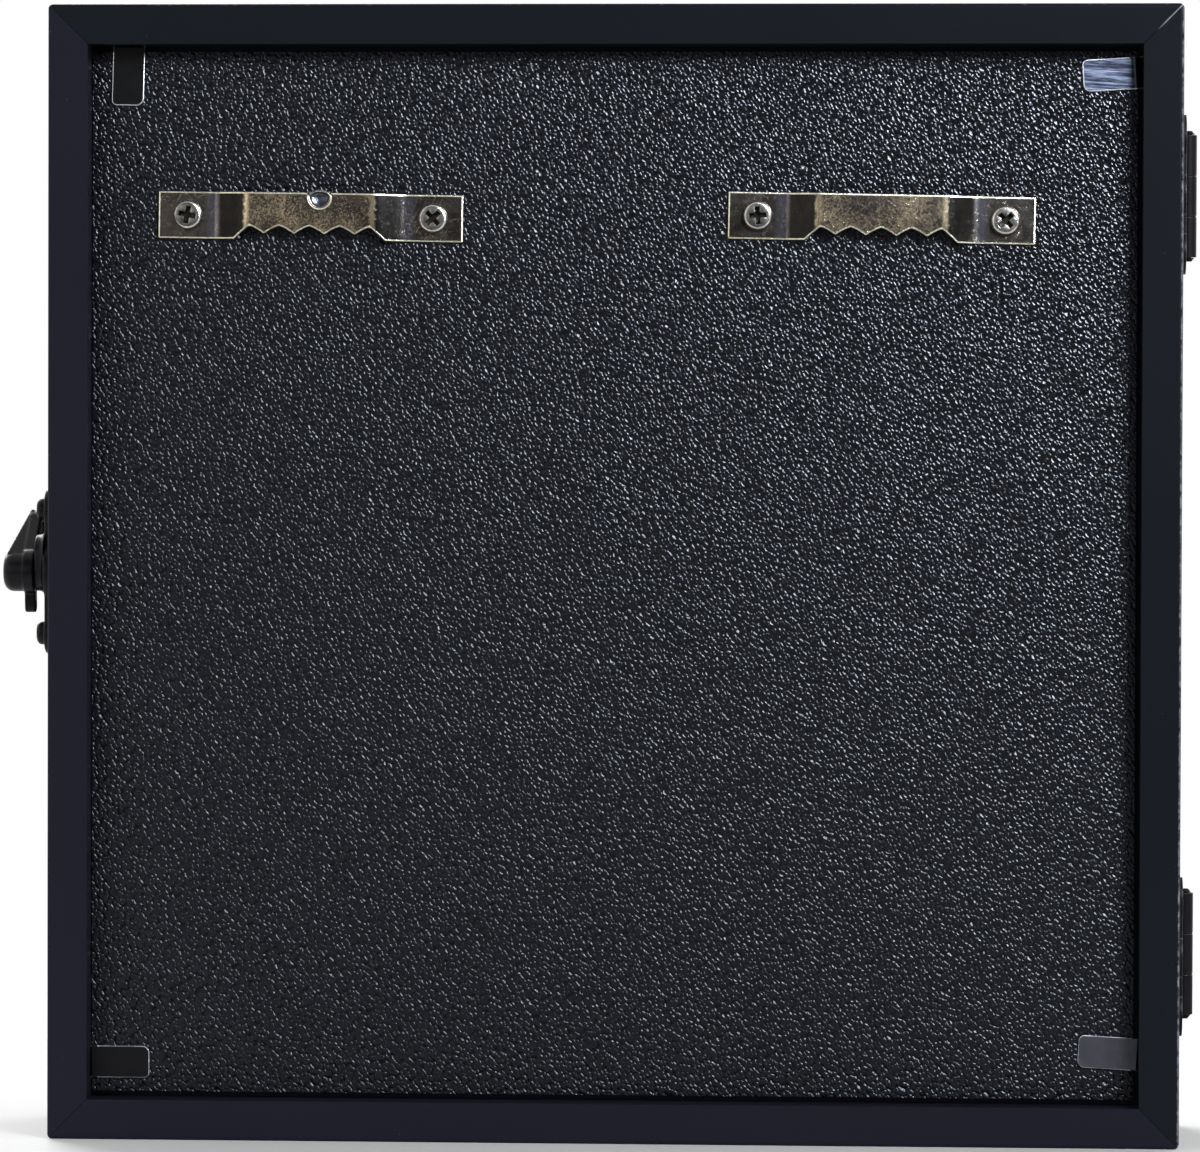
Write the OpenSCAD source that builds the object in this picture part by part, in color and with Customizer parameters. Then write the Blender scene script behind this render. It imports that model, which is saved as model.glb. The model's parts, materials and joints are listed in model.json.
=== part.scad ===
// Wall-hung display case for pinned butterflies: a mitred wooden box with a glazed,
// side-hinged door, a swing latch, and a back panel held by flexible framing points.
// +X is the latch side, -Y is the glass front, +Y is the wall side, +Z is up.
// The origin is the centre of the box's bottom face.

/* [Box] */
// Outside width of the box
case_w = 227; // [190:1:360]
// Outside height of the box
case_h = 228; // [170:1:360]
// Depth of the box behind the door
body_d = 20; // [19:1:60]
// Thickness of the box rails
rail_t = 12; // [11:0.5:18]
// Width of the rear rim outside the back panel
rim_w = 8; // [7:0.5:9.5]
// Depth of the recess behind the back panel
recess_d = 6.5; // [5:0.5:7]
// Radius of the eased long edges
edge_r = 0.8; // [0.4:0.1:1.2]
// Radius of the eased outer corners
corner_r = 1.2; // [0.6:0.1:2]
// Depth of the fine groove where two rails meet
mitre_groove_d = 0.1; // [0.1:0.05:0.4]

/* [Back panel] */
// Thickness of the fibreboard back
panel_t = 2.6; // [2:0.2:4]
// Thickness of the leather-grained cover paper
skin_t = 0.4; // [0.3:0.1:0.6]
// Gap at each side of the back panel
panel_side_gap = 0.6; // [0.5:0.1:1]
// Gap above and below the back panel
panel_end_gap = 1.2; // [0.3:0.1:1.5]
// How far the loose panel has slid towards the latch side
panel_slip = 0.4; // [0:0.1:0.4]
// Thickness of the foam pinning board
board_t = 8; // [5:0.5:8.5]
// Thickness of the linen on the pinning board
liner_t = 0.5; // [0.3:0.1:0.8]
// Gap round the pinning board
board_gap = 0.5; // [0.3:0.1:1]

/* [Door] */
// Depth of the door frame
door_d = 25; // [24:0.5:40]
// Width of the door rails, seen from the front
door_rail_w = 16; // [14:0.5:24]
// Gap between the door and the box
seam_gap = 0.3; // [0.2:0.1:0.6]
// Thickness of the wooden lip in front of the glass
lip_t = 4; // [3.5:0.5:6]
// Depth of the bevel on the front of the lip
bevel_d = 2.2; // [1:0.2:2.8]
// Width of the bevel on the front of the lip
bevel_w = 6; // [3:0.5:8]
// Thickness of the glass
glass_t = 2; // [1.8:0.1:3]
// How far the glass reaches under the lip
glass_cover = 6; // [5:0.5:8]
// Gap round the glass
glass_gap = 0.5; // [0.3:0.1:0.8]
// Width and thickness of the beads behind the glass
bead_t = 4.5; // [3.5:0.5:6]

/* [Hinges] */
// Height of the hinge centres from the box's top and bottom
hinge_inset = 37.5; // [25:0.5:60]
// Length of the hinge barrel
barrel_l = 24.6; // [20:0.2:30]
// Radius of the hinge barrel
barrel_r = 1.7; // [1.6:0.1:2.2]
// Radius of the hinge pin
pin_r = 0.7; // [0.6:0.1:0.9]
// Thickness of the hinge leaves
leaf_t = 0.9; // [0.8:0.1:1.2]
// Reach of a hinge leaf from the barrel's axis
leaf_reach = 12.3; // [12:0.1:13.5]
// Height of a hinge leaf at its wings
leaf_h = 32; // [30:0.5:36]
// Radius of the hinge screws' shanks
leaf_screw_r = 1; // [0.8:0.1:1.2]

/* [Latch] */
// Distance of the hook's pivot behind the door seam
pivot_back = 6.5; // [6:0.1:7.5]
// Distance of the catch post in front of the door seam
catch_front = 6; // [5.6:0.1:6.8]
// How far the hook is swung up from its latched place
hook_raise = 40; // [36:1:50]
// Thickness of both latch plates
plate_t = 2.2; // [1.6:0.1:2.6]
// Height of the latch plate on the box
latch_plate_h = 33.4; // [32:0.2:38]
// Height of the catch plate on the door
catch_plate_h = 25; // [23:0.5:30]
// Height of the latch screws' heads
latch_head_h = 1.8; // [1.4:0.1:2]
// Distance of the hook's underside from the screws' heads
hook_room = 0.3; // [0.3:0.1:0.6]
// Thickness of the hook's arm
hook_t = 2.2; // [1.8:0.1:2.6]
// Height of the hook's domed hub above its arm
hub_h = 4.2; // [3.6:0.1:4.6]
// Radius of the hook's hub
hub_r = 4.1; // [3.8:0.1:4.4]
// Radius of the catch post
post_r = 1.7; // [1.4:0.1:2]
// Radius of the rivet that the hook turns on
rivet_r = 1.5; // [1.2:0.1:1.7]

/* [Hangers] */
// Length of a sawtooth hanger
hanger_l = 61.5; // [58:0.5:64]
// Height of a sawtooth hanger
hanger_h = 9.5; // [8.5:0.1:11]
// Thickness of the hangers' steel
hanger_t = 0.8; // [0.6:0.1:1]
// Distance of the bridge's underside from the back panel
hanger_lift = 2.4; // [2:0.1:3]
// Length of the raised bridge
bridge_l = 25; // [24:0.5:28]
// Length of the slope at each end of the bridge
ramp_l = 7; // [6:0.5:8]
// Distance between two teeth
tooth_pitch = 6.1; // [5.5:0.1:6.2]
// Depth of a tooth
tooth_d = 1.6; // [1:0.1:2]
// Distance between a hanger's two screws
hanger_hole_pitch = 49.5; // [48:0.5:51]
// Distance of the latch side's hanger below the box's top, at its middle
hanger_drop_latch = 42.6; // [34:0.1:60]
// Distance of the hinge side's hanger below the box's top, at its middle
hanger_drop_hinge = 42.5; // [34:0.1:60]
// Distance of the outer end of the latch side's hanger from the box's side
hanger_inset_latch = 21.6; // [18:0.1:30]
// Distance of the outer end of the hinge side's hanger from the box's side
hanger_inset_hinge = 29.2; // [18:0.1:30]
// Radius of the hanger screws' heads
hanger_head_r = 2.9; // [2.6:0.1:3.2]

/* [Framing points] */
// Width of a framing point
point_w = 6.5; // [5:0.5:8]
// Length of a framing point outside the rail
point_l = 12; // [9:0.5:14]
// Thickness of a framing point
point_t = 0.5; // [0.4:0.1:0.7]
// Length of a framing point driven into the rail
point_root = 5; // [4:0.5:5.5]

/* [Hidden] */
$fn = 64;

// A hair of overlap that keeps a cut clean
cut = 0.1;
// Clearance of a turning fit, on the radius
turn_gap = 0.06;
// Clearance of a screw or a driven point in its hole
snug_gap = 0.04;

// Planes across the depth of the case
rear_y = body_d / 2;
seam_y = -body_d / 2;
skin_y = rear_y - recess_d;
panel_y = skin_y - skin_t;
seat_y = panel_y - panel_t;
board_y = seat_y - board_t;
door_rear_y = seam_y - seam_gap;
door_front_y = door_rear_y - door_d;
glass_front_y = door_front_y + lip_t;
glass_rear_y = glass_front_y + glass_t;

rebate_w = door_rail_w - glass_cover;

// Hinge, as distances along and across the wall that it is screwed to
hinge_z = [case_h - hinge_inset, hinge_inset];
knuckle_gap = 0.15;
mid_knuckle_l = barrel_l / 3;
wing_r = 4.5;
leaf_screw_z = 9.5;
leaf_screw_y = 8;
leaf_screw_l = 8.5;
leaf_head_r = 2.05;
barrel_room = 0.35;

// Latch: heights above the box's side, from the plate up to the hub's top
latch_z = case_h / 2;
pivot_y = seam_y + pivot_back;
catch_y = seam_y - catch_front;
catch_reach = pivot_back + catch_front;
hook_lift = plate_t + latch_head_h + hook_room;
arm_top = hook_lift + hook_t;
hub_top = arm_top + hub_h;
hub_edge = 2;
hub_collar = 0.5;
boss_r = 4;
boss_fillet = 1.4;
boss_gap = 0.1;
boss_rise = 3.4;
plate_lobe_r = 4.2;
plate_disc_r = pivot_back - 0.5;
latch_screw_z = latch_plate_h / 2 - plate_lobe_r;
catch_lobe_r = 3.8;
catch_disc_r = catch_front - 0.8;
catch_screw_z = catch_plate_h / 2 - catch_lobe_r;
latch_head_r = 2.4;
latch_screw_r = 1.1;
latch_screw_l = 9;
post_neck_r = post_r - 0.4;
post_top = arm_top - 0.2;
slot_gap = 0.35;
hook_end_r = 4.2;
hook_belly = 1.6;
spine_w = 1.9;
tail_reach = 7;
tail_r = 1.4;
tail_turn = 305;
rivet_root = 5;
rivet_head_r = 2.2;
rivet_head_h = 0.9;

// Hangers: [x and z of the centre, turn in the panel's plane, has a dimple]
hangers = [
    [case_w / 2 - hanger_inset_latch - hanger_l / 2, case_h - hanger_drop_latch, 0.8, true],
    [-case_w / 2 + hanger_inset_hinge + hanger_l / 2, case_h - hanger_drop_hinge, 1.1, false]
];
hanger_screw_r = 1.2;
hanger_screw_l = 7.5;
hanger_head_h = 1.5;
dimple_r = 2.2;
dimple_x = -1.5;
dimple_drop = 1.2;
dimple_deep = 0.5;
dimple_bowl_r = 3.1;
teeth = 4;
tooth_base = 2.7;
ramp_steps = 8;

// Framing points: [side, which end of that side, distance from that end, slant]
TOP = 180;
BOTTOM = 0;
HINGE_SIDE = 90;
LATCH_SIDE = -90;
points = [
    [TOP, -1, 15.6, -1.5],
    [HINGE_SIDE, -1, 13.4, 3.5],
    [LATCH_SIDE, -1, 15.1, 0],
    [HINGE_SIDE, 1, 18.3, -3]
];
bend_off = 0.6;
point_corner_r = 1.1;
point_rest = 0.05;

function side_length(side, w, h) = (side == TOP || side == BOTTOM) ? w : h;
function side_inset(side, w, h) = (side == TOP || side == BOTTOM) ? h / 2 : w / 2;

// Frames of reference

// Puts a piece drawn along the bottom edge of a w by h frame on one of its sides
module on_side(side, w, h) {
    translate([0, 0, case_h / 2]) rotate([0, side, 0])
        translate([0, 0, -side_inset(side, w, h)]) children();
}

// Latch wall: drawn x becomes depth, drawn y becomes height, drawn z points out of the wall
module on_latch_wall(y, z) {
    translate([case_w / 2, y, z]) rotate([90, 0, 90]) children();
}

module on_hinge_wall(y, z) {
    mirror([1, 0, 0]) on_latch_wall(y, z) children();
}

// Back panel: drawn x points to the latch side, drawn y up, drawn z out of the back
module on_back(x, z, turn = 0) {
    translate([x, skin_y, z]) rotate([0, -turn, 0]) rotate([90, 0, 0]) mirror([0, 0, 1]) children();
}

// Shared shapes

module rounded_square(low, high, r) {
    translate([low.x + r, low.y]) square([high.x - low.x - 2 * r, high.y - low.y]);
    translate([low.x, low.y + r]) square([high.x - low.x, high.y - low.y - 2 * r]);
    for (x = [low.x + r, high.x - r], y = [low.y + r, high.y - r])
        translate([x, y]) circle(r);
}

// A length of moulding along x, mitred at both ends; its section is drawn as (y, inwards)
module mitred_rail(side, w, h, section_w) {
    long = side_length(side, w, h);
    on_side(side, w, h) intersection() {
        translate([-long / 2, 0, 0]) rotate([90, 0, 90]) linear_extrude(long) children();
        translate([0, case_h, 0]) rotate([90, 0, 0]) linear_extrude(2 * case_h)
            polygon([[-long / 2, 0], [long / 2, 0],
                     [long / 2 - section_w, section_w], [section_w - long / 2, section_w]]);
    }
}

// What stays of a frame once its four upright corners are eased
module eased_outline(w, h) {
    translate([0, case_h, case_h / 2]) rotate([90, 0, 0]) linear_extrude(2 * case_h)
        rounded_square([-w / 2, -h / 2], [w / 2, h / 2], corner_r);
}

// The fine grooves at a rail's two mitres, on the faces at the depths in ys; they start just
// inside the eased outer edges
module mitre_grooves(side, w, h, section_w, ys) {
    long = side_length(side, w, h);
    bar = (mitre_groove_d + cut) * sqrt(2);
    start = sqrt(2) * (edge_r + 2 * mitre_groove_d);
    on_side(side, w, h) for (end = [0, 1], y = ys)
        mirror([end, 0, 0]) translate([-long / 2, y, 0]) rotate([0, -45, 0]) translate([start, 0, cut])
            rotate([45, 0, 0]) translate([0, -bar / 2, -bar / 2]) cube([2 * section_w, bar, bar]);
}

// A cross recess of that width and depth, cut downwards from z = 0
module cross_recess(width, depth) {
    for (turn = [0, 90]) rotate(turn)
        translate([-width / 2, -width / 8, -depth]) cube([width, width / 4, depth + cut]);
}

// A round-headed wood screw, its head's seat at z = 0
module round_screw(head_r, head_h, shank_r, shank_l) {
    rim = head_h * 0.6;
    difference() {
        union() {
            rotate_extrude() {
                square([head_r - rim, head_h]);
                square([head_r, head_h - rim]);
                translate([head_r - rim, head_h - rim]) circle(rim);
            }
            translate([0, 0, -shank_l + shank_r]) cylinder(h = shank_l - shank_r, r = shank_r);
            translate([0, 0, -shank_l]) cylinder(h = shank_r, r1 = 0.2, r2 = shank_r);
        }
        translate([0, 0, head_h]) cross_recess(head_r * 1.35, head_h * 0.75);
        translate([0, 0, -2 * rim]) difference() {
            cylinder(h = 2 * rim, r = head_r + cut);
            translate([0, 0, -cut]) cylinder(h = 2 * rim + 2 * cut, r = shank_r);
        }
    }
}

// A countersunk wood screw whose head fills a plate of that thickness above z = 0
module flat_screw(plate, head_r, shank_r, shank_l) {
    difference() {
        union() {
            cylinder(h = plate, r1 = shank_r, r2 = head_r);
            translate([0, 0, -shank_l + shank_r]) cylinder(h = shank_l - shank_r + cut, r = shank_r);
            translate([0, 0, -shank_l]) cylinder(h = shank_r, r1 = 0.2, r2 = shank_r);
        }
        translate([0, 0, plate]) cross_recess(head_r * 1.2, plate * 0.6);
    }
}

module screw_hole(shank_r, shank_l) {
    translate([0, 0, -shank_l - snug_gap]) cylinder(h = shank_l + 2, r = shank_r + snug_gap);
}

// Box

module case_rail_section() {
    difference() {
        rounded_square([seam_y, 0], [rear_y, rail_t], edge_r);
        translate([seat_y, rim_w]) square([body_d, rail_t]);
    }
}

module case_rail(side) {
    color([0.07, 0.07, 0.08]) difference() {
        intersection() {
            mitred_rail(side, case_w, case_h, rail_t) case_rail_section();
            eased_outline(case_w, case_h);
        }
        mitre_grooves(side, case_w, case_h, rail_t, [rear_y, seam_y]);
        for (p = points) if (p[0] == side) at_point(p) point_root_solid(snug_gap);
        if (side == HINGE_SIDE) for (z = hinge_z) on_hinge_wall(hinge_y(), z)
            leaf_screws_at() screw_hole(leaf_screw_r, leaf_screw_l);
        if (side == LATCH_SIDE) on_latch_wall(pivot_y, latch_z) {
            plate_screws_at(latch_screw_z) screw_hole(latch_screw_r, latch_screw_l);
            screw_hole(rivet_r, rivet_root);
        }
    }
}

// Back panel and pinning board

// A sheet across the box, that far in from its sides and from its top and bottom
module sheet(from_y, to_y, side_inset, end_inset) {
    translate([side_inset - case_w / 2, from_y, end_inset])
        cube([case_w - 2 * side_inset, to_y - from_y, case_h - 2 * end_inset]);
}

module panel_sheet(from_y, to_y) {
    translate([panel_slip, 0, 0]) sheet(from_y, to_y, rim_w + panel_side_gap, rim_w + panel_end_gap);
}

module board_sheet(from_y, to_y) {
    sheet(from_y, to_y, rail_t + board_gap, rail_t + board_gap);
}

module hanger_screw_holes() {
    for (h = hangers) on_back(h[0], h[1], h[2])
        for (x = [-1, 1]) translate([x * hanger_hole_pitch / 2, 0, 0])
            screw_hole(hanger_screw_r, hanger_screw_l);
}

module back_panel() {
    color([0.36, 0.25, 0.16]) difference() {
        panel_sheet(seat_y, panel_y);
        hanger_screw_holes();
    }
}

module back_panel_skin() {
    color([0.05, 0.05, 0.06]) difference() {
        panel_sheet(panel_y, skin_y);
        hanger_screw_holes();
    }
}

module pinning_board() {
    color([0.93, 0.93, 0.9]) difference() {
        board_sheet(board_y, seat_y);
        hanger_screw_holes();
    }
}

module board_liner() {
    color([0.9, 0.87, 0.8]) board_sheet(board_y - liner_t, board_y);
}

// Sawtooth hangers

// Height of the strip's underside above the panel, x along the hanger
function ramp_share(t) = (1 - cos(180 * t)) / 2;
ramp = [for (i = [0 : ramp_steps]) [-bridge_l / 2 - ramp_l + ramp_l * i / ramp_steps,
                                    hanger_lift * ramp_share(i / ramp_steps)]];
strip_under = concat([[-hanger_l / 2, 0]], ramp,
                     [for (i = [ramp_steps : -1 : 0]) [-ramp[i].x, ramp[i].y]], [[hanger_l / 2, 0]]);
strip_over = [for (i = [len(strip_under) - 1 : -1 : 0]) strip_under[i] + [0, hanger_t]];

// The sawtooth edge, from the left, above the strip's lower edge
tooth_edge = [for (i = [-teeth : teeth]) [i * tooth_pitch / 2, tooth_base - (abs(i) % 2) * tooth_d]];

module hanger_outline() {
    low = -hanger_h / 2;
    side = teeth * tooth_pitch / 2 + 2.8;
    polygon(concat([[-hanger_l / 2, low], [-side, low]],
                   [for (p = tooth_edge) p + [0, low]],
                   [[side, low], [hanger_l / 2, low], [hanger_l / 2, -low], [-hanger_l / 2, -low]]));
}

module hanger_strip() {
    translate([0, hanger_h, 0]) rotate([90, 0, 0]) linear_extrude(2 * hanger_h)
        polygon(concat(strip_under, strip_over));
}

module hanger(h) {
    bridge_top = hanger_lift + hanger_t;
    color([0.42, 0.35, 0.24]) on_back(h[0], h[1], h[2]) difference() {
        union() {
            intersection() {
                hanger_strip();
                linear_extrude(2 * bridge_top) hanger_outline();
            }
            if (h[3]) at_dimple(hanger_lift) cylinder(h = hanger_t, r = dimple_r);
        }
        for (x = [-1, 1]) translate([x * hanger_hole_pitch / 2, 0, -cut])
            cylinder(h = bridge_top, r = hanger_screw_r + snug_gap);
        if (h[3]) at_dimple(bridge_top + dimple_bowl_r - dimple_deep) sphere(r = dimple_bowl_r);
    }
}

// The middle of the dimple, at that height above the panel
module at_dimple(z) {
    translate([dimple_x, hanger_h / 2 - dimple_drop, z]) children();
}

module hanger_screws() {
    color([0.6, 0.57, 0.5]) for (h = hangers) on_back(h[0], h[1], h[2])
        for (x = [-1, 1]) translate([x * hanger_hole_pitch / 2, 0, hanger_t])
            rotate(x * 17) round_screw(hanger_head_r, hanger_head_h, hanger_screw_r, hanger_screw_l);
}

// Flexible framing points

// x across the point, y out of the panel, z away from the rail
module at_point(p) {
    side = p[0];
    reach = side_length(side, case_w, case_h) / 2 - p[2];
    on_side(side, case_w, case_h)
        translate([p[1] * reach, skin_y + point_rest + point_t / 2, rim_w]) rotate([0, p[3], 0]) children();
}

module point_root_solid(extra) {
    wide = point_w + 2 * extra;
    thick = point_t + 2 * extra;
    translate([-wide / 2, -thick / 2, -point_root - extra])
        cube([wide, thick, point_root + bend_off / 2 + extra]);
}

module framing_point_roots() {
    color([0.2, 0.2, 0.22]) for (p = points) at_point(p) point_root_solid(0);
}

module framing_point(p) {
    color([0.2, 0.2, 0.22]) at_point(p) translate([0, 0, bend_off]) {
        translate([-point_w / 2, 0, 0]) rotate([0, 90, 0]) cylinder(h = point_w, r = point_t / 2);
        translate([0, point_t / 2, 0]) rotate([90, 0, 0]) linear_extrude(point_t) {
            translate([-point_w / 2, 0]) square([point_w, point_l - bend_off - point_corner_r]);
            rounded_square([-point_w / 2, point_l / 3], [point_w / 2, point_l - bend_off], point_corner_r);
        }
    }
}

// Hinges

function hinge_y() = seam_y - seam_gap / 2;

module leaf_screws_at() {
    for (side = [-1, 1]) translate([leaf_screw_y, side * leaf_screw_z, 0]) children();
}

// A leaf that runs towards +x from the barrel's axis, seen on its wall
module leaf_outline() {
    wing_y = leaf_h / 2 - wing_r;
    wing_x = leaf_reach - wing_r;
    difference() {
        union() {
            translate([0, -barrel_l / 2]) square([wing_x, barrel_l]);
            for (side = [-1, 1]) translate([wing_x, side * wing_y]) circle(wing_r);
            translate([wing_x, -wing_y]) square([wing_r * 0.6, 2 * wing_y]);
            translate([leaf_reach - 5, 0]) circle(5);
        }
        for (side = [-1, 1]) translate([leaf_reach + 0.6, side * 5.6]) circle(2.4);
    }
}

// own: the heights on which this leaf has a knuckle, as pairs; other: where the other leaf has one
module hinge_leaf(own, other) {
    difference() {
        union() {
            linear_extrude(leaf_t) leaf_outline();
            for (k = own) translate([0, k[1], barrel_r]) rotate([90, 0, 0])
                cylinder(h = k[1] - k[0], r = barrel_r);
        }
        for (k = other) translate([-barrel_r - 1, k[0] - knuckle_gap, -1])
            cube([2 * barrel_r + 1 + barrel_room, k[1] - k[0] + 2 * knuckle_gap, 3 * barrel_r]);
        translate([0, barrel_l, barrel_r]) rotate([90, 0, 0]) cylinder(h = 2 * barrel_l, r = pin_r + turn_gap);
        leaf_screws_at() {
            translate([0, 0, -cut]) cylinder(h = leaf_t + 2 * cut, r = leaf_screw_r + snug_gap);
            translate([0, 0, 0]) cylinder(h = leaf_t, r1 = leaf_screw_r + snug_gap, r2 = leaf_head_r + snug_gap);
            translate([0, 0, leaf_t]) cylinder(h = 1, r = leaf_head_r + snug_gap);
        }
    }
}

mid_knuckle = [[-mid_knuckle_l / 2, mid_knuckle_l / 2]];
end_knuckles = [[-barrel_l / 2, -mid_knuckle_l / 2], [mid_knuckle_l / 2, barrel_l / 2]];

module hinge_case_leaf(i) {
    color([0.12, 0.11, 0.11]) on_hinge_wall(hinge_y(), hinge_z[i]) hinge_leaf(mid_knuckle, end_knuckles);
}

module hinge_door_leaf(i) {
    color([0.12, 0.11, 0.11]) on_hinge_wall(hinge_y(), hinge_z[i]) mirror([1, 0, 0])
        hinge_leaf(end_knuckles, mid_knuckle);
}

module hinge_pin(i) {
    color([0.2, 0.19, 0.18]) on_hinge_wall(hinge_y(), hinge_z[i])
        translate([0, barrel_l / 2 + knuckle_gap, barrel_r]) rotate([90, 0, 0]) {
            cylinder(h = barrel_l + 2 * knuckle_gap, r = pin_r);
            translate([0, 0, -pin_r]) cylinder(h = pin_r, r1 = pin_r, r2 = barrel_r * 0.75);
            translate([0, 0, barrel_l + 2 * knuckle_gap]) cylinder(h = pin_r, r1 = barrel_r * 0.75, r2 = pin_r);
        }
}

module hinge_case_screws() {
    color([0.16, 0.15, 0.15]) for (z = hinge_z) on_hinge_wall(hinge_y(), z)
        leaf_screws_at() flat_screw(leaf_t, leaf_head_r, leaf_screw_r, leaf_screw_l);
}

module hinge_door_screws() {
    color([0.16, 0.15, 0.15]) for (z = hinge_z) on_hinge_wall(hinge_y(), z) mirror([1, 0, 0])
        leaf_screws_at() flat_screw(leaf_t, leaf_head_r, leaf_screw_r, leaf_screw_l);
}

// Latch

module plate_screws_at(reach) {
    for (side = [-1, 1]) translate([0, side * reach, 0]) children();
}

module plate_outline(reach, lobe_r, disc_r) {
    circle(disc_r);
    for (side = [-1, 1]) translate([0, side * reach]) circle(lobe_r);
    translate([-lobe_r * 0.75, -reach]) square([lobe_r * 1.5, 2 * reach]);
}

// Half the boss's section: its flank runs out into the plate in a hollow curve
module boss_section(h) {
    difference() {
        square([boss_r + boss_fillet, h]);
        translate([boss_r + boss_fillet, boss_fillet]) circle(boss_fillet);
        translate([boss_r, boss_fillet]) square([boss_fillet + 1, h]);
    }
}

// The raised pad that the hook turns on, drawn out upwards from the pivot
module latch_boss() {
    h = hook_lift - boss_gap - plate_t;
    translate([0, 0, plate_t]) {
        for (y = [0, boss_rise]) translate([0, y, 0]) rotate_extrude() boss_section(h);
        for (side = [0, 1]) mirror([side, 0, 0])
            translate([0, boss_rise, 0]) rotate([90, 0, 0]) linear_extrude(boss_rise) boss_section(h);
    }
}

module latch_plate() {
    color([0.13, 0.13, 0.14]) on_latch_wall(pivot_y, latch_z) difference() {
        union() {
            linear_extrude(plate_t) plate_outline(latch_screw_z, plate_lobe_r, plate_disc_r);
            latch_boss();
        }
        plate_screws_at(latch_screw_z) translate([0, 0, -cut])
            cylinder(h = plate_t + 2 * cut, r = latch_screw_r + snug_gap);
        translate([0, 0, -cut]) cylinder(h = hook_lift + cut, r = rivet_r + snug_gap);
    }
}

module latch_plate_screws() {
    color([0.16, 0.16, 0.17]) on_latch_wall(pivot_y, latch_z) plate_screws_at(latch_screw_z)
        translate([0, 0, plate_t]) round_screw(latch_head_r, latch_head_h, latch_screw_r, latch_screw_l);
}

module latch_rivet() {
    head_z = hub_top - rivet_head_h;
    color([0.3, 0.3, 0.31]) on_latch_wall(pivot_y, latch_z) {
        translate([0, 0, -rivet_root]) cylinder(h = rivet_root + head_z, r = rivet_r);
        translate([0, 0, head_z]) cylinder(h = rivet_head_h, r = rivet_head_r);
    }
}

// The hook as it lies when latched: its pivot at the origin, the catch post towards -x
module hook_outline() {
    circle(hub_r + hub_collar);
    translate([-catch_reach, -hook_belly]) square([catch_reach, hook_belly + hook_end_r - 0.05]);
    translate([-catch_reach, 0]) circle(hook_end_r);
    rotate(tail_turn) {
        translate([0, -tail_r]) square([tail_reach, 2 * tail_r]);
        translate([tail_reach, 0]) circle(tail_r);
    }
}

// The post's way into the hook, which is part of a ring round the pivot
module hook_mouth() {
    slot_r = post_r + slot_gap;
    translate([-catch_reach, 0]) circle(slot_r);
    difference() {
        circle(catch_reach + slot_r);
        circle(catch_reach - slot_r);
        translate([-2 * catch_reach, 0]) square([4 * catch_reach, 4 * catch_reach]);
        translate([0, -2 * catch_reach]) square([2 * catch_reach, 4 * catch_reach]);
    }
    translate([-catch_reach, -2 * hook_end_r]) square([catch_reach - hub_r - 2, 2 * hook_end_r - hook_belly]);
}

// The raised spine along the hook's back, highest at the hub
module hook_spine() {
    low = arm_top - 0.5;
    nose = catch_reach + hook_end_r * 0.55;
    translate([0, hook_end_r - 0.2, 0]) rotate([90, 0, 0]) linear_extrude(spine_w)
        polygon([[-1, low], [-1, hub_top - 0.7], [-nose, arm_top + 0.1], [-nose, low]]);
}

module latch_hook() {
    color([0.12, 0.12, 0.13]) on_latch_wall(pivot_y, latch_z) rotate(-hook_raise) difference() {
        union() {
            translate([0, 0, hook_lift]) linear_extrude(hook_t) difference() {
                hook_outline();
                hook_mouth();
            }
            translate([0, 0, arm_top - cut]) rotate_extrude() {
                square([hub_r - hub_edge, hub_h + cut]);
                square([hub_r, hub_h + cut - hub_edge]);
                translate([hub_r - hub_edge, hub_h + cut - hub_edge]) circle(hub_edge);
            }
            hook_spine();
        }
        cylinder(h = 2 * hub_top, r = rivet_r + turn_gap);
        translate([0, 0, hub_top - rivet_head_h - turn_gap]) cylinder(h = 2, r = rivet_head_r + turn_gap);
    }
}

module catch_plate() {
    color([0.13, 0.13, 0.14]) on_latch_wall(catch_y, latch_z) difference() {
        linear_extrude(plate_t) plate_outline(catch_screw_z, catch_lobe_r, catch_disc_r);
        plate_screws_at(catch_screw_z) translate([0, 0, -cut])
            cylinder(h = plate_t + 2 * cut, r = latch_screw_r + snug_gap);
        translate([0, 0, -cut]) cylinder(h = plate_t + 2 * cut, r = post_neck_r + snug_gap);
    }
}

module catch_post() {
    color([0.2, 0.2, 0.21]) on_latch_wall(catch_y, latch_z) {
        cylinder(h = plate_t, r = post_neck_r);
        translate([0, 0, plate_t]) cylinder(h = post_top - plate_t - 0.4, r = post_r);
        translate([0, 0, post_top - 0.4]) cylinder(h = 0.4, r1 = post_r, r2 = post_neck_r);
    }
}

module catch_plate_screws() {
    color([0.16, 0.16, 0.17]) on_latch_wall(catch_y, latch_z) plate_screws_at(catch_screw_z)
        translate([0, 0, plate_t]) round_screw(latch_head_r, latch_head_h, latch_screw_r, latch_screw_l);
}

// Door

module door_rail_section() {
    difference() {
        rounded_square([door_front_y, 0], [door_rear_y, door_rail_w], edge_r);
        translate([glass_front_y, rebate_w]) square([door_d, door_rail_w]);
        polygon([[door_front_y - 1, door_rail_w - bevel_w], [door_front_y, door_rail_w - bevel_w],
                 [door_front_y + bevel_d, door_rail_w], [door_front_y + bevel_d, door_rail_w + 1],
                 [door_front_y - 1, door_rail_w + 1]]);
    }
}

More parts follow.
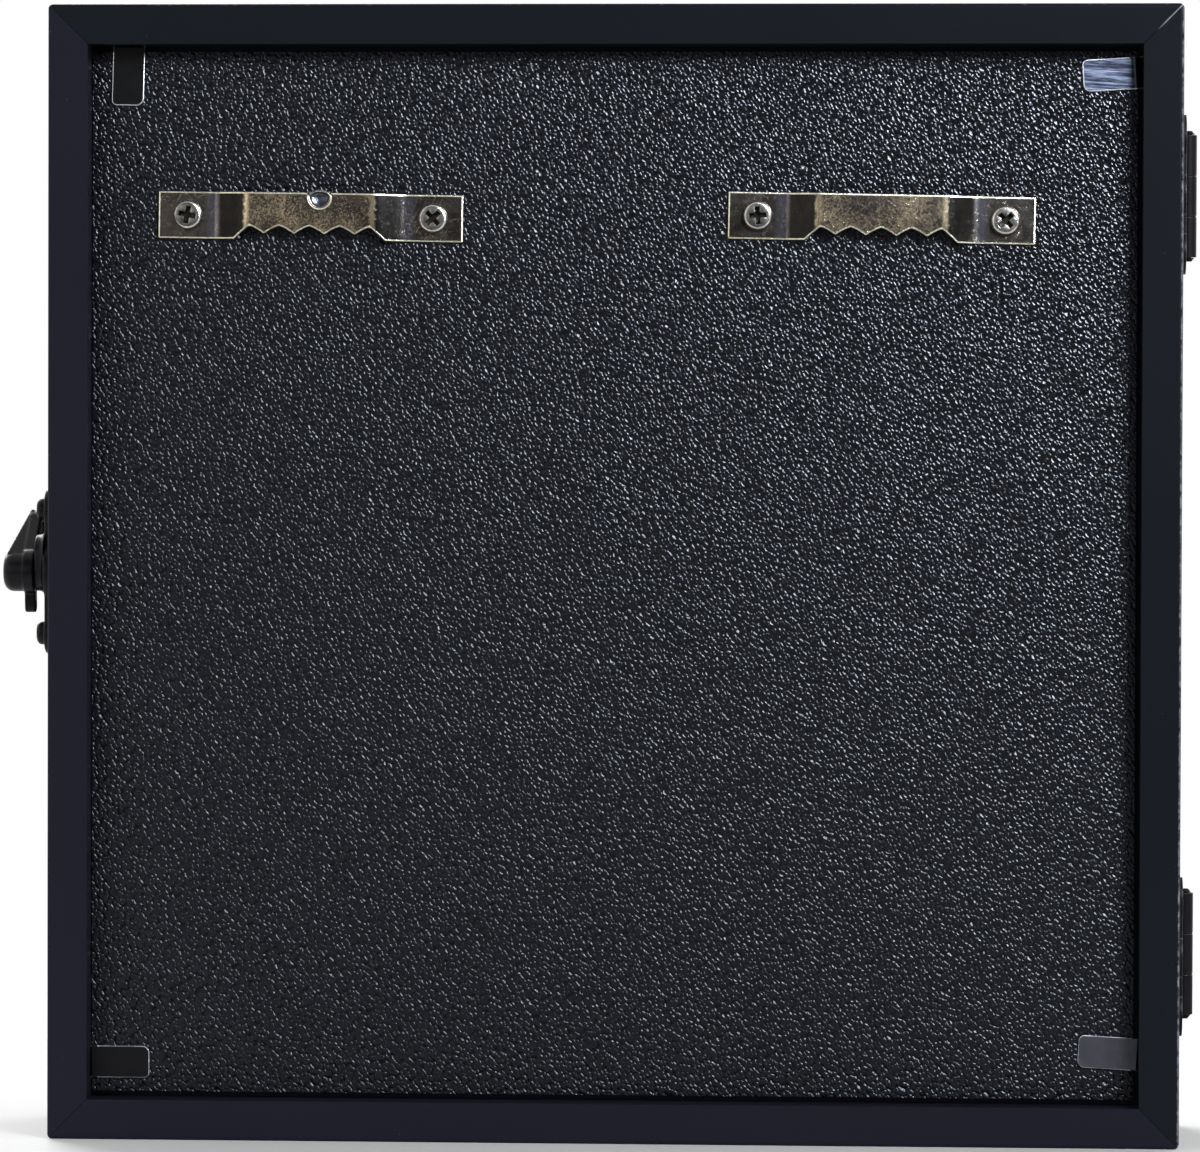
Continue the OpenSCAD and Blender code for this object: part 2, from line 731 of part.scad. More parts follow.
module door_rail(side) {
    color([0.07, 0.07, 0.08]) difference() {
        intersection() {
            mitred_rail(side, case_w, case_h, door_rail_w) door_rail_section();
            eased_outline(case_w, case_h);
        }
        mitre_grooves(side, case_w, case_h, door_rail_w, [door_rear_y, door_front_y]);
        if (side == HINGE_SIDE) for (z = hinge_z) on_hinge_wall(hinge_y(), z) mirror([1, 0, 0])
            leaf_screws_at() screw_hole(leaf_screw_r, leaf_screw_l);
        if (side == LATCH_SIDE) on_latch_wall(catch_y, latch_z)
            plate_screws_at(catch_screw_z) screw_hole(latch_screw_r, latch_screw_l);
    }
}

module glass_pane() {
    w = case_w - 2 * rebate_w - 2 * glass_gap;
    h = case_h - 2 * rebate_w - 2 * glass_gap;
    color([0.8, 0.9, 0.9, 0.35]) translate([-w / 2, glass_front_y, (case_h - h) / 2]) cube([w, glass_t, h]);
}

module glass_bead(side) {
    color([0.09, 0.09, 0.1]) mitred_rail(side, case_w - 2 * rebate_w, case_h - 2 * rebate_w, bead_t)
        polygon([[glass_rear_y, 0], [glass_rear_y + bead_t, 0],
                 [glass_rear_y + bead_t, bead_t / 2], [glass_rear_y, bead_t]]);
}

case_rail(TOP);  // case_rail_top
case_rail(BOTTOM);  // case_rail_bottom
case_rail(HINGE_SIDE);  // case_rail_hinge_side
case_rail(LATCH_SIDE);  // case_rail_latch_side
back_panel();
back_panel_skin();
pinning_board();
board_liner();
hanger(hangers[0]);  // hanger_latch_side
hanger(hangers[1]);  // hanger_hinge_side
hanger_screws();
hinge_case_leaf(0);  // hinge_upper_case_leaf
hinge_case_leaf(1);  // hinge_lower_case_leaf
hinge_pin(0);  // hinge_upper_pin
hinge_pin(1);  // hinge_lower_pin
hinge_case_screws();
latch_plate();
latch_rivet();
latch_plate_screws();
framing_point_roots();
framing_point(points[0]);  // framing_point_top
framing_point(points[1]);  // framing_point_upper
framing_point(points[2]);  // framing_point_lower_latch
framing_point(points[3]);  // framing_point_lower_hinge
door_rail(TOP);  // door_rail_top
door_rail(BOTTOM);  // door_rail_bottom
door_rail(HINGE_SIDE);  // door_rail_hinge_side
door_rail(LATCH_SIDE);  // door_rail_latch_side
glass_pane();
glass_bead(TOP);  // glass_bead_top
glass_bead(BOTTOM);  // glass_bead_bottom
glass_bead(HINGE_SIDE);  // glass_bead_hinge_side
glass_bead(LATCH_SIDE);  // glass_bead_latch_side
hinge_door_leaf(0);  // hinge_upper_door_leaf
hinge_door_leaf(1);  // hinge_lower_door_leaf
hinge_door_screws();
catch_plate();
catch_post();
catch_plate_screws();
latch_hook();
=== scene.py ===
# %% [markdown]
# # A butterfly display case, seen from its back
#
# This file dresses a small wooden display case. The frame that it loads already holds every
# hard piece at its real size: mitred rails, a glazed door, hinges, a swing latch, and a back
# panel with two sawtooth hangers. What is missing is the look of each surface, and the soft
# or hand-shaped forms that a saw and a drill don't give. Each step below says what the real
# piece is, how it could be made in Blender, and why this way was chosen.
#
# Everything is in metres. +X is the latch side, -Y is the glass front, +Y is the wall side
# and +Z is up. The photographed side is the back, so the camera stands at +Y.

# %% Load the frame
import json
import math
from functools import partial

import bmesh
import bpy
from mathutils import Matrix, Vector

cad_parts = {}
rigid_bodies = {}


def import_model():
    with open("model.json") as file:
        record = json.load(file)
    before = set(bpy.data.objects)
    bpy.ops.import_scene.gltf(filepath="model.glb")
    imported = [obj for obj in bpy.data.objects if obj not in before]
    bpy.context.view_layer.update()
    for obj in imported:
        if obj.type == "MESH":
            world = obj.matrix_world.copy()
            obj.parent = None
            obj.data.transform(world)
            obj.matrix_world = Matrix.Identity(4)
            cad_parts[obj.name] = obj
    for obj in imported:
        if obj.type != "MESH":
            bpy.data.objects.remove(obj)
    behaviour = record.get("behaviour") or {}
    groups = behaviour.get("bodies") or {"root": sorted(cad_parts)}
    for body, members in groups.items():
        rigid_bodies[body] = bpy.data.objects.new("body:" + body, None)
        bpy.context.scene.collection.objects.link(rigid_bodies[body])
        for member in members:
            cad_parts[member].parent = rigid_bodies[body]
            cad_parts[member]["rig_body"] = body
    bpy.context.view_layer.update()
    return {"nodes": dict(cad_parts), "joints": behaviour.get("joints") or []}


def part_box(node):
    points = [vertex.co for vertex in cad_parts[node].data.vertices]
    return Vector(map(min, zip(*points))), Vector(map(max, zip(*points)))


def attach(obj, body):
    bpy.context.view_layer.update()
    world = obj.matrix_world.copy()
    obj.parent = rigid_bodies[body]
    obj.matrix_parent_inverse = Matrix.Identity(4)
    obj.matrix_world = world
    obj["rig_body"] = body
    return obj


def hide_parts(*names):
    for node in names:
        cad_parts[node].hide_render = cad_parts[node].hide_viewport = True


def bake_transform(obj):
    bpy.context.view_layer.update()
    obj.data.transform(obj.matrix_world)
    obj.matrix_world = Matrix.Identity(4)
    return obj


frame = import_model()
nodes = frame["nodes"]
MM = 0.001
print("pieces in the frame:", len(nodes))

# %% [markdown]
# ## The places that the frame gives
#
# A piece that sits on another one takes its place from it. So the main planes and sizes are
# read from the frame once, here, and no number of the frame is written twice.

# %% Main planes and sizes
case_low = Vector(map(min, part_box("case_rail_bottom")[0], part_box("case_rail_hinge_side")[0]))
case_high = Vector(map(max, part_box("case_rail_top")[1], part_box("case_rail_latch_side")[1]))
case_middle = (case_low + case_high) / 2
skin_low, skin_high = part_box("back_panel_skin")
skin_y = skin_high.y
print("box of the case, mm:", [round(c / MM, 1) for c in case_high - case_low])

# %% [markdown]
# ## Working on one object at a time
#
# Blender's operators act on what is selected, and the frame's pieces arrive selected. These
# small helpers select one object, open it for editing, and pick vertices by their place, as
# a modeller would with the mouse.


# %% Selecting and finishing
def only(piece):
    """Selects this piece alone and makes it the active one."""
    bpy.ops.object.select_all(action="DESELECT")
    piece.select_set(True)
    bpy.context.view_layer.objects.active = piece


def named(name):
    """Names the piece that was just added, and leaves it alone selected."""
    piece = bpy.context.active_object
    piece.name = name
    piece.data.name = name
    only(piece)
    return piece


def open_mesh(piece, mode="VERT"):
    """Opens the piece for editing with nothing selected."""
    only(piece)
    bpy.ops.object.mode_set(mode="EDIT")
    bpy.ops.mesh.select_mode(type=mode)
    bpy.ops.mesh.select_all(action="DESELECT")


def close_mesh():
    bpy.ops.object.mode_set(mode="OBJECT")


def pick_vertices(piece, test):
    """Selects the vertices whose place passes the test, and no others."""
    mesh = bmesh.from_edit_mesh(piece.data)
    for vertex in mesh.verts:
        vertex.select = bool(test(vertex.co))
    mesh.select_flush_mode()
    bmesh.update_edit_mesh(piece.data)


def pick_edges(piece, test):
    """Selects the edges that pass the test, and no others."""
    mesh = bmesh.from_edit_mesh(piece.data)
    for edge in mesh.edges:
        edge.select = bool(test(edge))
    mesh.select_flush_mode()
    bmesh.update_edit_mesh(piece.data)


def merge_close(distance):
    """Merges the open mesh's vertices that are nearer together than this."""
    bpy.ops.mesh.select_all(action="SELECT")
    bpy.ops.mesh.remove_doubles(threshold=distance)


def cut_across(place, direction):
    """Cuts the whole open mesh across at this place."""
    bpy.ops.mesh.select_all(action="SELECT")
    bpy.ops.mesh.bisect(plane_co=place, plane_no=direction)


def put_in_place(piece):
    """Moves the object's own place, turn and size into its mesh."""
    only(piece)
    bpy.ops.object.transform_apply(location=True, rotation=True, scale=True)


def with_modifier(piece, kind, **settings):
    """Adds one modifier, sets it up and applies it."""
    only(piece)
    bpy.ops.object.modifier_add(type=kind)
    modifier = piece.modifiers[-1]
    for key, value in settings.items():
        setattr(modifier, key, value)
    bpy.ops.object.modifier_apply(modifier=modifier.name)


def rounded(piece, width, degrees=40, **settings):
    """Rounds every edge that turns by more than this angle over that width."""
    with_modifier(piece, "BEVEL", width=width, segments=2, limit_method="ANGLE",
                  angle_limit=math.radians(degrees), **settings)


def smooth(piece, degrees=40):
    """Smooth shading that keeps edges sharper than this angle, and keeps large faces flat."""
    only(piece)
    bpy.ops.object.shade_smooth_by_angle(angle=math.radians(degrees))
    with_modifier(piece, "WEIGHTED_NORMAL", keep_sharp=True, weight=100)


def join(pieces, name):
    """Joins the pieces into one mesh."""
    bpy.ops.object.select_all(action="DESELECT")
    for piece in pieces:
        piece.select_set(True)
    bpy.context.view_layer.objects.active = pieces[0]
    bpy.ops.object.join()
    return named(name)


def copy_of(piece, name):
    """A copy with a mesh of its own."""
    twin = piece.copy()
    twin.data = piece.data.copy()
    twin.name = name
    twin.data.name = name
    bpy.context.scene.collection.objects.link(twin)
    return twin


def finish_with(piece, *finishes):
    """Gives the piece these finishes, in this order, and no others."""
    piece.data.materials.clear()
    for finish in finishes:
        piece.data.materials.append(finish)


def frame_copy(source, name, *finishes):
    """A free copy of a frame piece in these finishes."""
    twin = copy_of(nodes[source], name)
    twin.parent = None
    finish_with(twin, *finishes)
    return twin


def mark(piece, name, axis):
    """Writes each vertex's place along this axis into the mesh, for the finish to read."""
    layer = piece.data.attributes.new(name, "FLOAT", "POINT")
    layer.data.foreach_set("value", [vertex.co[axis] for vertex in piece.data.vertices])


# %% [markdown]
# ## The camera
#
# The photograph shows the case's back almost straight on, from a little above and a little
# towards the hinges: the hinge side looks one per cent taller than the latch side, and the
# top a shade wider than the bottom. At a distance of 1.2 m that is a turn of three degrees
# and a tilt of one. Five pixels of the picture are one millimetre at the case's back.
# These angles are chosen to put the four corners of the box on the photographed ones.

# %% Camera
PICTURE_WIDTH = 1200
PIXELS_PER_MM = 5.005
MIDDLE_RIGHT_OF_CENTRE = 11.6
MIDDLE_ABOVE_CENTRE = 1.0
camera_distance = 1.2
camera_turn = math.radians(-3.2)
camera_tilt = math.radians(1.25)
camera_roll = math.radians(0.18)

aim = Vector((case_middle.x + MIDDLE_RIGHT_OF_CENTRE / PIXELS_PER_MM * MM, case_high.y,
              case_middle.z - MIDDLE_ABOVE_CENTRE / PIXELS_PER_MM * MM))
bpy.ops.object.camera_add()
camera = bpy.context.active_object
away = Vector((math.sin(camera_turn) * math.cos(camera_tilt),
               math.cos(camera_turn) * math.cos(camera_tilt), math.sin(camera_tilt)))
camera.location = aim + away * camera_distance
turned = away.to_track_quat("Z", "Y") @ Matrix.Rotation(camera_roll, 3, "Z").to_quaternion()
camera.rotation_euler = turned.to_euler()
camera.data.sensor_fit = "HORIZONTAL"
camera.data.sensor_width = 36
seen_width = PICTURE_WIDTH / PIXELS_PER_MM * MM
camera.data.lens = camera.data.sensor_width * camera_distance / seen_width
camera.data.clip_start = 0.01
camera.data.clip_end = 20
bpy.context.scene.camera = camera
print("lens, mm:", round(camera.data.lens, 1))

# %% [markdown]
# ## Light and surroundings
#
# A product photograph of a black thing lives from reflections. The surroundings are white
# for what the camera, the metal and the glass see, and half as bright as a source of light,
# so that they fill the shadows without washing the black out. A fairly small lamp stands
# above the hinge side: the slopes of the leather grain that face it turn into bright
# specks, which grow dimmer towards the lower corner of the latch side.
#
# A black surface still mirrors white surroundings as a grey veil. A photographer keeps that
# off with a large dark card behind the camera, folded forward along the floor. Only the
# rays that leave a glossy surface meet this card: flat faces stay deep black or dark bronze,
# and every edge that looks past the card shines.


# %% Nodes, linked by hand
def node(tree, kind, **settings):
    """Adds a shader node. A value named like one of its input sockets goes to that socket."""
    made = tree.nodes.new(kind)
    for key, value in settings.items():
        if key in made.inputs:
            made.inputs[key].default_value = value
        else:
            setattr(made, key, value)
    return made


def link(start, end):
    """Links two sockets, in the tree that they lie in."""
    end.id_data.links.new(start, end)


def fill(socket, value):
    """Links the value to the socket if it is a socket itself, or else sets the number."""
    if isinstance(value, bpy.types.NodeSocket):
        link(value, socket)
    else:
        socket.default_value = value


def math_node(operation, first, second=None):
    """A Math node on two numbers or sockets, of which one is a socket; gives its output."""
    tree = (first if isinstance(first, bpy.types.NodeSocket) else second).id_data
    made = node(tree, "ShaderNodeMath", operation=operation)
    fill(made.inputs[0], first)
    if second is not None:
        fill(made.inputs[1], second)
    return made.outputs[0]


times = partial(math_node, "MULTIPLY")
plus = partial(math_node, "ADD")
minus = partial(math_node, "SUBTRACT")
larger = partial(math_node, "MAXIMUM")
smaller = partial(math_node, "MINIMUM")
unsigned = partial(math_node, "ABSOLUTE")


def seen_directly(tree):
    """1 for what the camera sees, also in metal or through glass, and 0 for plain light."""
    rays = tree.nodes.new("ShaderNodeLightPath")
    seen = larger(rays.outputs["Is Camera Ray"], rays.outputs["Is Glossy Ray"])
    return larger(seen, rays.outputs["Is Transmission Ray"])


# %% World
WORLD_LIGHT = 0.5
bpy.context.scene.view_settings.view_transform = "Standard"
world = bpy.data.worlds.new("studio")
bpy.context.scene.world = world
world.use_nodes = True
tree = world.node_tree
background = tree.nodes["Background"]
background.inputs["Color"].default_value = (1, 1, 1, 1)
shown = seen_directly(tree)
strength = math_node("MULTIPLY_ADD", shown, 1 - WORLD_LIGHT)
strength.node.inputs[2].default_value = WORLD_LIGHT
link(strength, background.inputs["Strength"])


# %% Lamps
def area_lamp(name, place, target, width, watts, colour=(1, 1, 1)):
    """A square lamp of that width, turned to the target."""
    bpy.ops.object.light_add(type="AREA", location=place)
    lamp = bpy.context.active_object
    lamp.name = name
    lamp.data.size = width
    lamp.data.energy = watts
    lamp.data.color = colour
    lamp.rotation_euler = (Vector(place) - Vector(target)).to_track_quat("Z", "Y").to_euler()
    return lamp


case_target = tuple(case_middle)
grain_lamp = area_lamp("grain_lamp", (-0.40, 0.56, 0.50), case_target, 0.2, 20, (0.78, 0.87, 1.0))
grain_lamp.visible_diffuse = False
area_lamp("wall_side_key", (-0.8, 1.0, 0.9), case_target, 0.6, 7)
area_lamp("wall_side_fill", (0.75, 1.1, 0.35), case_target, 0.9, 3)
area_lamp("glass_side_key", (0.55, -1.0, 0.75), case_target, 0.7, 14)
area_lamp("glass_side_fill", (-0.8, -0.9, 0.4), case_target, 0.9, 6)

# %% Dark card
CARD_WIDTH = 5.0
CARD_HEIGHT = 3.6
CARD_BEHIND = 1.9
CARD_NEAR = 0.3
CARD_GREY = 0.05
bpy.ops.mesh.primitive_plane_add(size=1, location=(0, (CARD_BEHIND + CARD_NEAR) / 2, 0.003))
card = named("dark_card")
card.scale = (CARD_WIDTH, CARD_BEHIND - CARD_NEAR, 1)
put_in_place(card)
open_mesh(card, "EDGE")
pick_edges(card, lambda edge: all(vertex.co.y > CARD_BEHIND - 0.01 for vertex in edge.verts))
bpy.ops.mesh.extrude_region_move(TRANSFORM_OT_translate={"value": (0, 0, CARD_HEIGHT)})
close_mesh()
felt = bpy.data.materials.new("dark card")
felt.use_nodes = True
tree = felt.node_tree
tree.nodes.remove(tree.nodes["Principled BSDF"])
glow = node(tree, "ShaderNodeEmission", Strength=CARD_GREY)
link(glow.outputs[0], tree.nodes["Material Output"].inputs["Surface"])
finish_with(card, felt)
card.visible_camera = False
card.visible_diffuse = False
card.visible_transmission = False
card.visible_shadow = False

# %% [markdown]
# ## The floor
#
# The case stands on a plain pale floor. Near the case the floor takes light and shadow like
# any matt surface. Further out it turns into the same white as the surroundings, so that it
# has no visible edge.

# %% Floor
FLOOR_SIZE = 6.0
FADE_START = 0.16
FADE_END = 0.55
bpy.ops.mesh.primitive_plane_add(size=FLOOR_SIZE, location=(0, case_middle.y, case_low.z))
floor = named("floor")
put_in_place(floor)
pale_floor = bpy.data.materials.new("pale floor")
pale_floor.use_nodes = True
tree = pale_floor.node_tree
shader = tree.nodes["Principled BSDF"]
shader.inputs["Base Color"].default_value = (0.86, 0.86, 0.86, 1)
shader.inputs["Roughness"].default_value = 0.75
shader.inputs["Specular IOR Level"].default_value = 0.2
white = node(tree, "ShaderNodeEmission", Strength=1.0)
place = node(tree, "ShaderNodeTexCoord").outputs["Object"]
distance = node(tree, "ShaderNodeVectorMath", operation="LENGTH")
link(place, distance.inputs[0])
fade = node(tree, "ShaderNodeMapRange", interpolation_type="SMOOTHSTEP")
fill(fade.inputs["From Min"], FADE_START)
fill(fade.inputs["From Max"], FADE_END)
link(distance.outputs["Value"], fade.inputs["Value"])
mixed = node(tree, "ShaderNodeMixShader")
link(times(fade.outputs[0], seen_directly(tree)), mixed.inputs["Fac"])
link(shader.outputs[0], mixed.inputs[1])
link(white.outputs[0], mixed.inputs[2])
link(mixed.outputs[0], tree.nodes["Material Output"].inputs["Surface"])
finish_with(floor, pale_floor)

# %% [markdown]
# ## Effects that several finishes share
#
# Wear, mottling and fine scratches come back on most of the pieces, each time at another
# scale. Such an effect is a node group: it is built once, with named inputs, and every
# material sets its own values. The groups give only masks and heights; the shader itself
# stays in the material.


# %% Node groups
def new_group(name, inputs, outputs):
    """An empty node group. Inputs are (name, default) pairs, or a bare name for a vector."""
    group = bpy.data.node_groups.new(name, "ShaderNodeTree")
    for entry in inputs:
        if isinstance(entry, str):
            group.interface.new_socket(entry, in_out="INPUT", socket_type="NodeSocketVector")
        else:
            socket = group.interface.new_socket(entry[0], in_out="INPUT", socket_type="NodeSocketFloat")
            socket.default_value = entry[1]
    for entry in outputs:
        group.interface.new_socket(entry, in_out="OUTPUT", socket_type="NodeSocketFloat")
    start = group.nodes.new("NodeGroupInput")
    end = group.nodes.new("NodeGroupOutput")
    return group, start, end


def between(value, low, high, smooth_step=False):
    """0 below low, 1 above high and a ramp between them."""
    made = node(value.id_data, "ShaderNodeMapRange",
                interpolation_type="SMOOTHSTEP" if smooth_step else "LINEAR")
    fill(made.inputs["From Min"], low)
    fill(made.inputs["From Max"], high)
    link(value, made.inputs["Value"])
    return made.outputs[0]


def noise(vector, per_metre, detail=3.0, roughness=0.55):
    """Noise with that many cells a metre; gives its value."""
    made = node(vector.id_data, "ShaderNodeTexNoise", Detail=detail, Roughness=roughness)
    fill(made.inputs["Scale"], per_metre)
    link(vector, made.inputs["Vector"])
    return made.outputs["Fac"]


def stretched(vector, lengths, turn=(0, 0, 0)):
    """Makes what is drawn with the vector that many times longer along the turned axes."""
    made = node(vector.id_data, "ShaderNodeMapping", vector_type="TEXTURE", Rotation=turn, Scale=lengths)
    link(vector, made.inputs["Vector"])
    return made.outputs[0]


def axes_of(place):
    """The three coordinates of a place, each alone."""
    split = node(place.id_data, "ShaderNodeSeparateXYZ")
    link(place, split.inputs[0])
    return split.outputs


# %% [markdown]
# ### Pebble grain
#
# Leather-grained paper is pressed with small pebbles, a little longer than wide, that lean
# the same way. A flat Voronoi pattern gives one cell for each pebble. Its coordinates are
# turned and stretched along the lean, and pushed about by a noise so that no cell is
# regular. A pebble is a dome: its height falls with the square of the distance from the
# cell's middle, so that exactly one spot on it faces the lamp.

# %% Group: pebble grain
WARP_REACH = 0.7 * MM
PEBBLE_LENGTH = 1.5
PEBBLE_LEAN = math.radians(56)
pebble_grain, start, end = new_group(
    "pebble grain", ["Place", ("Pebbles per metre", 800.0), ("Unevenness", 0.03)],
    ["Height", "Crease"])
tree = pebble_grain
axes = axes_of(start.outputs["Place"])
flat = node(tree, "ShaderNodeCombineXYZ")
link(axes["X"], flat.inputs["X"])
link(axes["Z"], flat.inputs["Y"])
warp = node(tree, "ShaderNodeTexNoise", noise_dimensions="2D", Scale=700.0, Detail=1.0)
link(flat.outputs[0], warp.inputs["Vector"])
centred = node(tree, "ShaderNodeVectorMath", operation="SUBTRACT")
link(warp.outputs["Color"], centred.inputs[0])
fill(centred.inputs[1], (0.5, 0.5, 0.5))
push = node(tree, "ShaderNodeVectorMath", operation="SCALE", Scale=WARP_REACH)
link(centred.outputs[0], push.inputs[0])
pushed = node(tree, "ShaderNodeVectorMath", operation="ADD")
link(flat.outputs[0], pushed.inputs[0])
link(push.outputs[0], pushed.inputs[1])
leaned = stretched(pushed.outputs[0], (PEBBLE_LENGTH, 1, 1), (0, 0, PEBBLE_LEAN))
cells = node(tree, "ShaderNodeTexVoronoi", feature="F1", voronoi_dimensions="2D", Randomness=0.85)
link(leaned, cells.inputs["Vector"])
link(start.outputs["Pebbles per metre"], cells.inputs["Scale"])
fall = math_node("POWER", cells.outputs["Distance"], 2.0)
fine = noise(start.outputs["Place"], 1400.0, 1.0)
uneven = times(fine, start.outputs["Unevenness"])
link(minus(uneven, fall), end.inputs["Height"])
# Crease mask between the pebbles; the leather finish paints shade with it.
link(between(cells.outputs["Distance"], 0.38, 0.6), end.inputs["Crease"])

# %% [markdown]
# ### Scratches and mottling
#
# Scratches are a noise that is stretched far along one direction and then cut off high, so
# that only thin lines stay. Mottling is a fine noise and a coarse one added and cut off, as
# stains and rubbed spots are clumped.

# %% Group: scratches and mottling
fine_scratches, start, end = new_group(
    "fine scratches", ["Place", ("Lines per metre", 2500.0), ("Amount", 0.35)], ["Mask"])
cut_at = minus(0.78, times(start.outputs["Amount"], 0.25))
lines = []
for lean in (8, -37, 64):
    along = stretched(start.outputs["Place"], (20, 1, 1), (0, math.radians(lean), 0))
    streak = noise(along, start.outputs["Lines per metre"], 2.0, 0.5)
    lines.append(between(streak, cut_at, plus(cut_at, 0.05)))
link(larger(larger(lines[0], lines[1]), lines[2]), end.inputs["Mask"])

mottling, start, end = new_group(
    "mottling", ["Place", ("Spots per metre", 900.0), ("Amount", 0.5)], ["Mask"])
spots = noise(start.outputs["Place"], start.outputs["Spots per metre"], 6.0, 0.7)
clumps = noise(start.outputs["Place"], 130.0, 3.0)
level = minus(0.72, times(start.outputs["Amount"], 0.34))
clumped = plus(times(spots, 0.7), times(clumps, 0.3))
link(between(clumped, level, plus(level, 0.12), True), end.inputs["Mask"])


# %% Starting a finish
def group_in(group, place, **values):
    """Places a group in a material, fed with the place and its own values."""
    made = place.id_data.nodes.new("ShaderNodeGroup")
    made.node_tree = group
    link(place, made.inputs["Place"])
    for key, value in values.items():
        fill(made.inputs[key.replace("_", " ")], value)
    return made.outputs


def new_finish(name, **sockets):
    """A material whose shader has those socket values; gives it, its shader and its place."""
    material = bpy.data.materials.new(name)
    material.use_nodes = True
    shader = material.node_tree.nodes["Principled BSDF"]
    for key, value in sockets.items():
        fill(shader.inputs[key.replace("_", " ")], value)
    coordinates = material.node_tree.nodes.new("ShaderNodeTexCoord")
    return material, shader, coordinates.outputs["Object"]


def colour_mix(mask, first, second):
    """First colour where the mask is 0, second where it is 1; each a socket or a colour."""
    made = node(mask.id_data, "ShaderNodeMix", data_type="RGBA")
    link(mask, made.inputs["Factor"])
    for socket, value in ((made.inputs[6], first), (made.inputs[7], second)):
        fill(socket, (*value, 1) if isinstance(value, tuple) else value)
    return made.outputs[2]


def value_mix(mask, first, second):
    """The same for two numbers."""
    made = node(mask.id_data, "ShaderNodeMix", data_type="FLOAT")
    link(mask, made.inputs["Factor"])
    fill(made.inputs[2], first)
    fill(made.inputs[3], second)
    return made.outputs[0]


def bumped(shader, height, depth):
    """Feeds the height to the shader's normal, as relief of that depth in metres."""
    bump = node(height.id_data, "ShaderNodeBump", Distance=depth)
    link(height, bump.inputs["Height"])
    link(bump.outputs["Normal"], shader.inputs["Normal"])


def coloured(shader, mask, first, second):
    """Gives the shader the mix of these two colours."""
    link(colour_mix(mask, first, second), shader.inputs["Base Color"])


def roughened(shader, mask, first, second):
    """Gives the shader a roughness that goes from the first value to the second."""
    link(value_mix(mask, first, second), shader.inputs["Roughness"])


def dress(finish, *names):
    """Gives frame pieces this finish in every material slot."""
    for name in names:
        mesh = nodes[name].data
        if not mesh.materials:
            mesh.materials.append(finish)
        for place in range(len(mesh.materials)):
            mesh.materials[place] = finish


# %% [markdown]
# ## Black lacquered rails
#
# The rails are stained black and lacquered satin. Seen closely the lacquer isn't perfect:
# it ripples a little over the wood's pores, dust has dried in it, and it is rubbed thin
# along the outer edges, where the pale colour is also a painted highlight of the rounded
# edges. The worn and highlit edge is found from the place alone: a point that is near two
# outer faces at once lies on an edge. In the photograph the rails of the latch side and the
# bottom look a little violet and the other two a little green, so each rail of the box gets
# its own stain. At the outer end of the upper mitre of the hinge side a thin pale line is
# painted, a painted highlight on the mitre.


# %% Finish: black lacquer
WORN_AND_HIGHLIGHT_REACH = 0.9 * MM
# Pale rubbed wood, which on the edges is also a painted highlight.
RUBBED_WOOD_AND_HIGHLIGHT = (0.32, 0.33, 0.36)
DUST = (0.12, 0.12, 0.12)


def edge_nearness(place, low, high, reach):
    """1 on the edges of the box from low to high, falling to 0 at that distance from them."""
    axes = axes_of(place)
    away_from_faces = []
    for axis in range(3):
        middle, half = (low[axis] + high[axis]) / 2, (high[axis] - low[axis]) / 2
        away_from_faces.append(minus(half, unsigned(minus(axes[axis], middle))))
    x, y, z = away_from_faces
    smallest = smaller(smaller(x, y), z)
    largest = larger(larger(x, y), z)
    second = minus(minus(plus(plus(x, y), z), smallest), largest)
    return between(second, reach, 0.0)


def painted_mitre_highlight(place, corner):
    """1 on the outer part of the mitre that runs inwards from this upper hinge-side corner, where a
    painted highlight goes.
    """
    axes = axes_of(place)
    inwards = minus(axes["X"], corner.x)
    downwards = minus(corner.z, axes["Z"])
    ragged = times(noise(place, 1200.0), 0.2 * MM)
    line = between(plus(unsigned(minus(inwards, downwards)), ragged), 0.34 * MM, 0.22 * MM)
    return times(line, between(inwards, 5.4 * MM, 3.6 * MM))


def lacquer(name, stain, low, high, edge_wear_and_highlight=0.0, mitre_highlight=False):
    """Satin black lacquer on wood, worn along the edges of the box from low to high, where the pale
    colour is also a painted highlight.
    """
    material, shader, place = new_finish(name, Specular_IOR_Level=0.05)
    grain = noise(place, 900.0, 4.0, 0.6)
    clouds = noise(place, 26.0, 2.0)
    wear_noise = noise(place, 700.0, 4.0, 0.65)
    edge = edge_nearness(place, low, high, WORN_AND_HIGHLIGHT_REACH)
    # Edge mask: real wear and a painted highlight of the rounded edges in one.
    wear_and_highlight = between(times(edge, wear_noise), 0.44 - 0.2 * edge_wear_and_highlight, 0.66 - 0.2 * edge_wear_and_highlight)
    # A thin pale line along the upper hinge-side mitre: a painted highlight.
    if mitre_highlight:
        wear_and_highlight = larger(wear_and_highlight, painted_mitre_highlight(place, Vector((low.x, 0, high.z))))
    specks = between(noise(place, 1500.0, 1.0, 0.4), 0.80, 0.84)
    base = colour_mix(clouds, stain, tuple(c * 1.12 for c in stain))
    coloured(shader, specks, colour_mix(wear_and_highlight, base, RUBBED_WOOD_AND_HIGHLIGHT), DUST)
    roughened(shader, clouds, 0.30, 0.36)
    bumped(shader, plus(grain, times(wear_and_highlight, -0.6)), 0.02 * MM)
    return material


violet = (0.0140, 0.0140, 0.0240)
green = (0.0086, 0.0106, 0.0148)
neutral = (0.0104, 0.0108, 0.0146)
dress(lacquer("lacquer violet black", violet, case_low, case_high),
      "case_rail_latch_side", "case_rail_bottom")
dress(lacquer("lacquer green black", green, case_low, case_high, 0.2, True), "case_rail_top")
dress(lacquer("lacquer green black, worn", green, case_low, case_high, 1.0, True),
      "case_rail_hinge_side")

door_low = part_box("door_rail_bottom")[0]
door_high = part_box("door_rail_top")[1]
sides = ("top", "bottom", "hinge_side", "latch_side")
dress(lacquer("lacquer of the door", neutral, door_low, door_high),
      *("door_rail_" + side for side in sides), *("glass_bead_" + side for side in sides))
